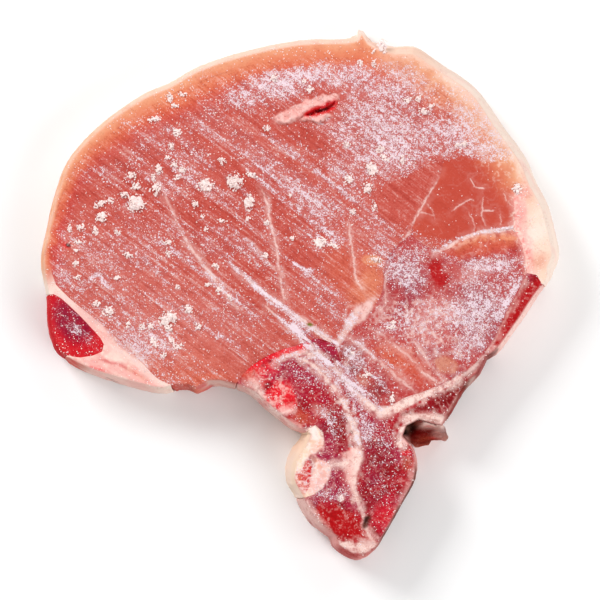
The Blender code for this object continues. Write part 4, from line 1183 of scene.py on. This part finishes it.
def paint_lean(canvas):
    """The loin eye: lean, with orange fat soaking in from the rim, sinews and frost."""
    tone = layered_mottle(canvas.flat, 14.0, 111)
    canvas.lay("lean_pale", 0.35 * eased(tone, 0.0, 0.8))
    canvas.lay("lean_deep", 0.35 * eased(-tone, 0.0, 0.8))
    paint_rim_fat(canvas)
    canvas.patches(LEAN_TINTS)
    dust(canvas, 0.27, 0.18)
    spare_rim_frost(canvas)
    canvas.patches(FACE_FROST)
    canvas.bands(SAW_STREAKS)
    canvas.patches(BARE_LEAN)
    canvas.fields(FAT_WEDGE, 0.4)
    canvas.bands(EYE_SEPTA, 0.4, 0.5, 0.25)
    canvas.streaks(CROWN_STREAKS)
    canvas.bands(LOBE_MARBLING[:2], 0.3, 0.6, 0.1, 0.7)
    paint_slit(canvas)
    canvas.patches(SPECKS, 0.0)
    canvas.walls(WALL_TINTS)
    canvas.wet = patch(canvas.flat, (16, 3), (7, 8), 0, 0.6)


def paint_slit(canvas):
    ragged = wobbled(canvas.flat, 0.9, 1.5, 51)
    for centre, radii, turn in SLIT_LIPS:
        mask = patch(ragged, centre, radii, turn, 0.3)
        canvas.lay("fat_pink", 0.9 * mask)
        canvas.lay("sinew", 0.55 * mask * eased(layered_mottle(canvas.flat, 1.2, 131), -0.3, 0.5))
        canvas.lay("frost", -0.7 * mask)
    mouth = wobbled(canvas.flat, 0.4, 1.0, 73)
    canvas.lay("marrow_bright", 0.9 * band(mouth, SLIT_MOUTH, (0.6, 0.7), 1.0, 0.4))
    canvas.lay("frost", -0.95 * band(mouth, SLIT_MOUTH, (0.8, 0.8), 0.8))
    canvas.lay("marrow_bright", 0.9 * band(mouth, SLIT_MOUTH, (0.3, 0.4), 0.5, 0.3))
    # Painted shade: a black line down the deepest part of the slit's mouth.
    canvas.lay("black_speck_and_hole_shade", 0.8 * band(mouth, SLIT_MOUTH[1:3], (0.05, 0.15), 0.4))


def paint_lobe(canvas):
    """The small lobe: bare orange-red lean with fine marbling, frosted above."""
    tone = layered_mottle(canvas.flat, 9.0, 141)
    canvas.lay("crescent", 0.4 * eased(tone, 0.0, 0.7))
    paint_rim_fat(canvas)
    dust(canvas, 0.34, 0.12)
    canvas.patches(FACE_FROST)
    canvas.patches(BARE_LEAN)
    by_fat = (1 - eased(face_distance(canvas, "fat_cap"), 0.0, 2.2)) * (1 - canvas.side)
    by_fat *= 1 - eased(canvas.flat[:, 1], 27.0, 31.0)
    canvas.lay("fat_pink", 0.5 * by_fat)
    canvas.netting("fat_cream", 0.9, by_fat, 1.1, 195, 0.2)
    canvas.netting("sinew", 0.1, 1 - canvas.side, 5.5, 143, 0.03)
    canvas.bands(LOBE_MARBLING[:-2], 0.3, 0.6, 0.08, 0.6)
    canvas.bands(LOBE_MARBLING[-2:], 0.3, 0.3, 0.12, 0.9)
    canvas.streaks(CROWN_STREAKS[-1:])
    canvas.walls(WALL_TINTS)


def paint_inner(canvas):
    """The inner muscle: purple lean under heavy frost, bare towards the bone."""
    tone = layered_mottle(canvas.flat, 5.0, 151)
    canvas.lay("inner_purple", 0.4 * eased(tone, 0.0, 0.6))
    canvas.patches(INNER_TINTS, 0.5)
    middle = patch(canvas.flat, (33, -7), (16, 8), -5, 0.6)
    canvas.netting("sinew", 0.75, middle, 1.9, 153, 0.16)
    canvas.netting("sinew", 0.22, 1 - middle, 2.4, 155)
    by_fat = (1 - eased(face_distance(canvas, "fat_cap"), 0.0, 2.0)) * (1 - canvas.side)
    canvas.lay("fat_pink", 0.6 * by_fat)
    canvas.netting("fat_cream", 0.9, by_fat, 1.1, 195, 0.2)
    canvas.bands(INNER_MARBLING)
    canvas.fields(FAT_WEDGE, 0.4)
    canvas.fields(BLOOD_SPOTS)
    dust(canvas, 0.28, 0.2)
    canvas.patches(INNER_FROST)
    canvas.streaks(CROWN_STREAKS)
    canvas.patches(BARE_LEAN[5:6])
    canvas.bands(LOBE_MARBLING[-2:])
    canvas.walls(WALL_TINTS)


def paint_flank(canvas):
    """The flank muscle: a dark centre in a bright rim."""
    canvas.patches(FLANK_TINTS)
    dust(canvas, 0.16, 0.1)
    canvas.lay("flank_rim", 0.9 * canvas.side)
    canvas.lay("fat_pink", 0.35 * canvas.side * eased(canvas.worn, 0.1, 0.6))
    canvas.wet = np.full(len(canvas.wet), 0.4)


def paint_bone(canvas):
    """The sawn vertebra: red and purple marrow between pale dense walls."""
    fine = layered_mottle(canvas.flat, 1.6, 171)
    broad = layered_mottle(canvas.flat, 6.0, 181)
    canvas.lay("marrow_purple", 0.6 * eased(broad, -0.1, 0.6))
    canvas.lay("marrow_deep", 0.6 * eased(-fine, 0.0, 0.5))
    canvas.lay("marrow_purple", 0.4 * eased(fine, 0.1, 0.6))
    canvas.patches(BONE_TINTS, 0.5)
    canvas.bands(SPINE_MARROW, 0.0)
    canvas.fields(BONE_FIELDS)
    paint_disc(canvas)
    everywhere = np.ones(len(canvas.flat))
    canvas.netting("fat_pink", 0.35, everywhere, 1.7, 183, 0.08)
    canvas.netting("cortical", 0.6, patch(canvas.flat, (-8, -25), (7, 6), -30, 0.5), 1.4, 185, 0.2)
    canvas.bands(SAWN_WALLS, 0.0, 0.65, 0.55)
    dust(canvas, 0.17, 0.16)
    canvas.streaks(CROWN_STREAKS)
    canvas.patches(BONE_FROST)
    canvas.lay("fat_pink", 0.75 * canvas.side)
    canvas.walls(WALL_TINTS)


def paint_disc(canvas):
    """The cartilage and the marrow round it, the same on both sides of their seam."""
    around = patch(canvas.flat, (1, -44), (9, 11), 0, 0.3)
    canvas.patches((("marrow_purple", 0.9, (6, -44), (5.5, 11), 10, 0.5),))
    canvas.fields(DISC_FIELDS)
    canvas.netting("fat_pink", 0.35, around, 2.0, 221, 0.12)
    canvas.netting("cortical", 0.5, around, 1.6, 223, 0.1)


def paint_cartilage(canvas):
    """The disc cartilage: a cream crescent round a pink patch and a crimson wedge."""
    paint_disc(canvas)
    canvas.lay("fat_peach", 0.45 * (1 - canvas.side) * eased(layered_mottle(canvas.flat, 2.6, 225), -0.1, 0.5))
    canvas.netting("ice", 0.6, 1 - canvas.side, 1.3, 227, 0.22)
    dust(canvas, 0.26, 0.25)
    canvas.walls(WALL_TINTS)


def paint_fat(canvas):
    """The back fat: cream at the rind, peach inside it, orange where it meets the lean."""
    from_lean = np.minimum(face_distance(canvas, "top_lobe"), face_distance(canvas, "inner_muscle"))
    x, y = canvas.flat.T
    ragged = 0.5 * layered_mottle(canvas.flat, 2.0, 191)
    right = eased(x, 30.0, 44.0)
    back = eased(y, 1.0, 10.0) * (1 - right) + right * eased(y, 22.0, 32.0)
    canvas.lay("lean", back * (1 - canvas.side))
    paint_rim_fat(canvas)
    lower = right * (1 - eased(y, 24.0, 32.0)) * (1 - canvas.side)
    canvas.lay("fat_straw", 0.4 * lower * eased(layered_mottle(canvas.flat, 4.0, 197), -0.4, 0.4))
    bloody = lower * (1 - eased(from_lean + 2 * ragged, 1.2, 3.8))
    canvas.lay("fat_pink", 0.85 * bloody)
    canvas.netting("marrow_bright", 0.5, bloody, 1.3, 193, 0.2)
    canvas.netting("fat_cream", 0.9, bloody, 1.1, 195, 0.2)
    belly = (1 - right) * (1 - eased(y, -4.0, 4.0)) * (1 - canvas.side)
    canvas.lay("fat_pink", 0.55 * belly * eased(layered_mottle(canvas.flat, 3.0, 199), -0.5, 0.3))
    streaky = layered_mottle(along_saw(canvas.flat, 4.0), 1.1, 203)
    canvas.lay("marrow_bright", 0.4 * belly * eased(streaky, 0.15, 0.6))
    canvas.lay("fat_cream", 0.6 * belly * eased(-streaky, 0.1, 0.6))
    canvas.patches(FAT_TINTS)
    canvas.bands(FAT_MARKS)
    dust(canvas, 0.1, 0.08)
    full = Canvas(np.column_stack((canvas.flat, canvas.height)), canvas.side, "lean")
    dust(full, 0.27, 0.18)
    canvas.frost = canvas.frost + (full.frost - canvas.frost) * back
    spare_rim_frost(canvas)
    canvas.patches(FACE_FROST)
    canvas.lay("rind", 0.85 * canvas.side)
    high = eased(canvas.height + 3 * canvas.worn, 7.0, 13.0) * canvas.side * back * (1 - right)
    high *= 1 - patch(canvas.flat, (16, 69.5), (2.6, 2.6), 0, 0.4)
    low = 1 - eased(y, 35.0, 58.0)
    canvas.lay("fat_straw", (0.35 + 0.5 * low) * high)
    canvas.lay("fat_peach", (0.15 + 0.5 * low) * high * eased(canvas.worn, -0.4, 0.3))
    canvas.lay("fat_pink", 0.3 * canvas.side * eased(-canvas.worn, 0.0, 0.5))
    canvas.walls(WALL_TINTS)


# Pieces


class CHOP_OT_back_fat(Operator):
    """Build the back fat with its rind"""

    bl_idname = "chop.back_fat"
    bl_label = "Back fat and rind"

    def execute(self, context):
        finish = flesh_finish("soft back fat", 0.6, 0.5, 0.9, 0.45)
        build_tissue("back_fat_and_rind", "fat_cap", "fat_cream", paint_fat, finish,
                     context.scene.chop_sizes.face_step)
        return {"FINISHED"}


class CHOP_OT_loin_eye(Operator):
    """Build the loin eye"""

    bl_idname = "chop.loin_eye"
    bl_label = "Loin eye"

    def execute(self, context):
        finish = flesh_finish("sawn loin lean", 1.0, 1.0, 1.0, 0.42)
        build_tissue("loin_eye_lean", "loin_eye", "lean", paint_lean, finish,
                     context.scene.chop_sizes.face_step)
        return {"FINISHED"}


class CHOP_OT_small_muscles(Operator):
    """Build the lobe, the inner muscle and the flank muscle"""

    bl_idname = "chop.small_muscles"
    bl_label = "Small muscles"

    def execute(self, context):
        lobe = flesh_finish("fine lobe lean", 0.5, 0.5, 1.0, 0.4)
        step = context.scene.chop_sizes.fine_step
        build_tissue("lobe_lean", "top_lobe", "lobe", paint_lobe, lobe, step)
        inner = flesh_finish("frosted inner lean", 1.1, 0.35, 1.0, 0.45, 0.7)
        build_tissue("inner_lean", "inner_muscle", "inner_bare", paint_inner,
                     inner, step)
        flank = flesh_finish("dark flank lean", 1.0, 0.2, 1.0, 0.36, 0.4)
        build_tissue("flank_lean", "flank_muscle", "flank_rim", paint_flank,
                     flank, step)
        return {"FINISHED"}


class CHOP_OT_vertebra(Operator):
    """Build the sawn vertebra and its cartilage"""

    bl_idname = "chop.vertebra"
    bl_label = "Vertebra and cartilage"

    def execute(self, context):
        bone = flesh_finish("sawn marrow bone", 1.5, 0.25, 1.0, 0.38, 0.3)
        step = context.scene.chop_sizes.fine_step
        build_tissue("sawn_vertebra", "backbone", "marrow", paint_bone, bone, step)
        disc = flesh_finish("disc cartilage", 0.25, 0.2, 0.8, 0.36)
        build_tissue(
            "cartilage_crescent", "disc_cartilage", "cartilage", paint_cartilage,
            disc, step,
        )
        return {"FINISHED"}


class CHOP_OT_canal_membrane(Operator):
    """Build the torn membrane in the spinal canal, with a low sheet over the canal's floor painted black as the shade
    of the hole
    """

    bl_idname = "chop.canal_membrane"
    bl_label = "Canal membrane"

    def execute(self, context):
        loop = resampled(sections("canal_lining", 1.0)[0], 0.3)
        normals = outward_normals(loop)
        towards_bone = np.clip(0.9 * normals[:, 1] - 1.2 * normals[:, 0], 0.35, 1.0)
        towards_bone *= 1 - eased(loop[:, 0], 36.0, 38.6) * (normals[:, 1] > 0)
        towards_bone *= 1 - eased(loop[:, 0], 33.0, 37.0) * (normals[:, 1] <= 0)
        loop = loop + normals * 3.4 * towards_bone[:, None]
        loop = wobbled(loop, 0.35, 1.3, 207)
        low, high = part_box("canal_lining")
        inner, outer, tip = low.x / MM, high.x / MM, high.z / MM
        face, triangles, rim = cover(loop, face_points(loop, 0.3))

        def top(points):
            x, y = points.T
            rise = np.clip((x - inner) / (outer - inner), 0.0, 1.0)
            bank = eased(y, -36.0, -33.3) * eased(x, 29.5, 32.5)
            folds = layered_mottle(points * (0.5, 1.6) + 0.6 * mottle(points, 2.0, 203)[:, None], 1.1, 201)
            return 0.8 + (tip + 3.0) * rise**1.2 + 10.0 * bank * (1 - rise) + (0.4 + 0.5 * rise) * folds

        count = len(loop)
        foot = np.column_stack((loop, np.zeros(count)))
        points = np.vstack((foot, np.column_stack((face, top(face)))))
        polygons = [
            (i, (i + 1) % count, count + rim[(i + 1) % count], count + rim[i])
            for i in range(count)
        ]
        polygons += [tuple(count + i for i in corners) for corners in triangles]
        canvas = Canvas(points, np.zeros(len(points)), "tan")
        x, y = canvas.flat.T
        ridges = layered_mottle(canvas.flat * (0.4, 1.5), 0.9, 211)
        # The low part over the canal's floor comes out black here, as painted shade.
        canvas.patches(CANAL_TINTS)
        bank = eased(y, -35.6, -33.8) * eased(x, 30.0, 32.5)
        canvas.lay("cortical", 0.9 * bank)
        canvas.lay("marrow_bright", 0.5 * bank * eased(-ridges, 0.0, 0.3))
        torn = eased(x, 34.5, 38.0)
        canvas.lay("crescent", 0.3 * torn * eased(ridges, -0.1, 0.3))
        canvas.lay("cortical", 0.8 * torn * eased(y, -37.0, -35.4))
        edge = nearest(tree_of(loop), canvas.flat)[0]
        canvas.lay("membrane", 0.7 * torn * (1 - eased(edge, 0.1, 0.6)))
        piece = mesh_piece("torn_canal_membrane", points, polygons)
        store(piece, canvas)
        piece.data.materials.append(flesh_finish("torn membrane", 1.0, 0.0, 0.5, 0.32))
        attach(piece, "root")
        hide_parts("canal_lining")
        return {"FINISHED"}


def grain_shape(subdivisions):
    """The corners and faces of a round grain of radius 1, or of an eight-sided crystal."""
    shape = bmesh.new()
    if subdivisions:
        bmesh.ops.create_icosphere(shape, subdivisions=subdivisions, radius=1.0)
    else:
        bmesh.ops.create_cube(shape, size=2 / math.sqrt(3))
        dual = [face.calc_center_median() * math.sqrt(3) for face in shape.faces]
        sides = [[face.index for face in corner.link_faces] for corner in shape.verts]
        shape.clear()
        made = [shape.verts.new(point) for point in dual]
        for side in sides:
            shape.faces.new([made[i] for i in side])
        bmesh.ops.recalc_face_normals(shape, faces=shape.faces)
        shape.verts.index_update()
    corners = np.array([tuple(v.co) for v in shape.verts])
    faces = np.array([[v.index for v in face.verts] for face in shape.faces])
    shape.free()
    return corners, faces


def turned(corners, draw):
    """The corners at a random attitude."""
    spin, _ = np.linalg.qr(draw.normal(size=(3, 3)))
    return corners @ spin


def heap(name, centres, radii, draw, subdivisions, flatness=1.0, unevenness=0.25):
    """One mesh of many uneven grains."""
    corners, faces = grain_shape(subdivisions)
    points, polygons = [], []
    for row, (centre, radius) in enumerate(zip(centres, radii)):
        bumps = 1 + unevenness * draw.uniform(-1.0, 1.0, (len(corners), 1))
        squash = (1.0, 1.0, flatness)
        points.append(turned(corners * bumps, draw) * radius * squash + centre)
        polygons.append(faces + row * len(corners))
    sharp = 180 if subdivisions > 1 else 20
    return mesh_piece(name, np.vstack(points), np.vstack(polygons).tolist(), sharp)


def round_about(centre, long, wide, turn, count, draw, crowding=0.5):
    """Random places inside an ellipse, and how far out each one lies, from 0 to 1."""
    angle = math.radians(turn)
    way, reach = draw.uniform(0, math.tau, count), draw.uniform(size=count) ** crowding
    u, v = long * reach * np.cos(way), wide * reach * np.sin(way)
    x = centre[0] + u * math.cos(angle) - v * math.sin(angle)
    y = centre[1] + u * math.sin(angle) + v * math.cos(angle)
    return np.column_stack((x, y)), reach


def whole_loops():
    return {name: sections(name, THICKNESS - FACE_DEPTH)[0] for name in TISSUES}


class CHOP_OT_frost(Operator):
    """Scatter loose frost crystals and clumps of ice over the sawn face"""

    bl_idname = "chop.frost"
    bl_label = "Frost and ice"

    def execute(self, context):
        sizes = context.scene.chop_sizes
        finish = ice_finish("white ice")
        draw = np.random.default_rng(7)
        low, high = np.array(CAD_LOW[:2]) / MM, np.array(CAD_HIGH[:2]) / MM
        scattered = draw.uniform(low, high, (sizes.crystals * 4, 2))
        on_face = np.zeros(len(scattered), dtype=bool)
        for loop in whole_loops().values():
            on_face |= inside(scattered, loop)
        scattered = scattered[on_face]
        canvas = Canvas(np.column_stack((scattered, scattered[:, :1])), np.zeros(len(scattered)), "lean")
        dust(canvas, 0.3, 0.3)
        canvas.patches(FACE_FROST + INNER_FROST + BONE_FROST)
        canvas.patches(BARE_LEAN)
        clusters = eased(layered_mottle(scattered, 1.6, 221), -0.2, 0.6)
        chance = canvas.frost * (0.3 + 0.7 * clusters)
        scattered = scattered[draw.uniform(size=len(scattered)) < chance][: sizes.crystals]
        radii = sizes.crystal / MM * draw.uniform(0.5, 1.3, len(scattered)) ** 1.5
        heights = THICKNESS + face_relief(scattered) + 0.3 * radii
        crystals = heap("frost_crystals", np.column_stack((scattered, heights)), radii, draw, 0)
        lobes, lobe_radii, crumbs, crumb_radii = [], [], [], []
        crumb = sizes.crumb / MM
        for x, y, long, wide, height, turn in CLUMPS:
            size = math.sqrt(long * wide)
            lobe = max(0.3, 0.42 * size)
            count = 3 + int(3.2 * long * wide)
            spots, reach = round_about((x, y), 0.75 * long, 0.75 * wide, turn, count, draw)
            radius = lobe * draw.uniform(0.6, 1.1, count) * (1.05 - 0.35 * reach)
            rise = (height - lobe) * (1 - reach**1.5) * draw.uniform(0.5, 1.0, count)
            lobes.append(np.column_stack((spots, rise)))
            lobe_radii.append(radius)
            count = int(10 + 16 * long * wide)
            spots, reach = round_about((x, y), 1.15 * long, 1.15 * wide, turn, count, draw, 0.7)
            radius = crumb * draw.uniform(0.4, 1.1, count)
            rise = height * (1 - np.minimum(1.0, reach) ** 2) * draw.uniform(0.6, 1.05, count)
            crumbs.append(np.column_stack((spots, rise)))
            crumb_radii.append(radius)
        lobes, crumbs = np.vstack(lobes), np.vstack(crumbs)
        lobes[:, 2] += THICKNESS + face_relief(lobes[:, :2])
        crumbs[:, 2] += THICKNESS + face_relief(crumbs[:, :2])
        clumps = heap("ice_clumps", lobes, np.concatenate(lobe_radii), draw, 3, 0.8, 0.12)
        loose = heap("ice_crumbs", crumbs, np.concatenate(crumb_radii), draw, 1)
        for piece in (crystals, clumps, loose):
            piece.data.materials.append(finish)
            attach(piece, "root")
        return {"FINISHED"}


class CHOP_OT_stage(Operator):
    """Add the pale floor, the soft lights and the camera"""

    bl_idname = "chop.stage"
    bl_label = "Floor, lights and camera"

    def execute(self, context):
        colours = paint_box()
        width = CAD_HIGH.x - CAD_LOW.x
        reach = 8 * width
        corners = [(-reach, -reach, 0), (reach, -reach, 0), (reach, reach, 0), (-reach, reach, 0)]
        mesh = bpy.data.meshes.new("pale_floor")
        mesh.from_pydata([Vector(c) for c in corners], [], [(0, 1, 2, 3)])
        floor = bpy.data.objects.new("pale_floor", mesh)
        context.scene.collection.objects.link(floor)
        finish = Finish("pale floor")
        grain = finish.noise(finish.place(), 40.0)
        tone = finish.mix(grain * 0.02, rgba(colours["floor"]), (1.0, 1.0, 1.0, 1.0))
        mesh.materials.append(finish.finish({"Base Color": tone, "Roughness": 0.9}, grain, 0.0))
        floor.location.z = CAD_LOW.z - 0.02 * MM
        self.light("soft_key", (-3.4, 3.2, 4.2), 2.4, 0.63, width)
        self.light("soft_fill", (4.0, -2.6, 4.2), 4.5, 0.56, width)
        self.light("soft_back", (2.6, 4.4, 4.4), 4.0, 0.2, width)
        world = bpy.data.worlds.new("soft_room")
        world.use_nodes = True
        world.node_tree.nodes["Background"].inputs["Color"].default_value = (1, 1, 1, 1)
        world.node_tree.nodes["Background"].inputs["Strength"].default_value = 0.34
        context.scene.world = world
        context.scene.view_settings.view_transform = "Standard"
        camera = bpy.data.objects.new("camera", bpy.data.cameras.new("camera"))
        context.scene.collection.objects.link(camera)
        seen = width * 1.1387  # width of the view at the sawn face
        distance = 6 * width
        camera.data.lens = camera.data.sensor_width * distance / seen
        camera.location = (0.0, -1.04 * MM, CAD_HIGH.z + distance)
        camera.data.clip_start = 0.1 * width
        camera.data.clip_end = 100 * width
        context.scene.camera = camera
        return {"FINISHED"}

    def light(self, name, place, size, strength, width):
        """A square area light that faces the chop and gives it the same light at any scale."""
        lamp = bpy.data.objects.new(name, bpy.data.lights.new(name, "AREA"))
        bpy.context.scene.collection.objects.link(lamp)
        lamp.location = Vector(place) * width
        distance = lamp.location.length
        lamp.data.size = size * width
        lamp.data.energy = strength * math.pi * math.pi * distance**2
        lamp.rotation_mode = "QUATERNION"
        lamp.rotation_quaternion = (-lamp.location).to_track_quat("-Z", "Y")


class CHOP_PT_panel(Panel):
    """Lists the pieces of the chop"""

    bl_idname = "CHOP_PT_panel"
    bl_label = "Pork chop"
    bl_space_type = "VIEW_3D"
    bl_region_type = "UI"
    bl_category = "Pork chop"

    def draw(self, context):
        for operator in OPERATORS:
            self.layout.operator(operator.bl_idname)
        for group in (context.scene.chop_sizes, context.scene.chop_colours):
            for name in type(group).__annotations__:
                self.layout.prop(group, name)


OPERATORS = (
    CHOP_OT_back_fat, CHOP_OT_loin_eye, CHOP_OT_small_muscles, CHOP_OT_vertebra,
    CHOP_OT_canal_membrane, CHOP_OT_frost, CHOP_OT_stage,
)
CLASSES = (ChopColours, ChopSizes, *OPERATORS, CHOP_PT_panel)


def register():
    for entry in CLASSES:
        bpy.utils.register_class(entry)
    bpy.types.Scene.chop_colours = PointerProperty(type=ChopColours)
    bpy.types.Scene.chop_sizes = PointerProperty(type=ChopSizes)


def unregister():
    del bpy.types.Scene.chop_sizes
    del bpy.types.Scene.chop_colours
    for entry in reversed(CLASSES):
        bpy.utils.unregister_class(entry)


def main():
    register()
    bpy.ops.chop.back_fat()
    bpy.ops.chop.loin_eye()
    bpy.ops.chop.small_muscles()
    bpy.ops.chop.vertebra()
    bpy.ops.chop.canal_membrane()
    bpy.ops.chop.frost()
    bpy.ops.chop.stage()


if __name__ == "__main__":
    main()
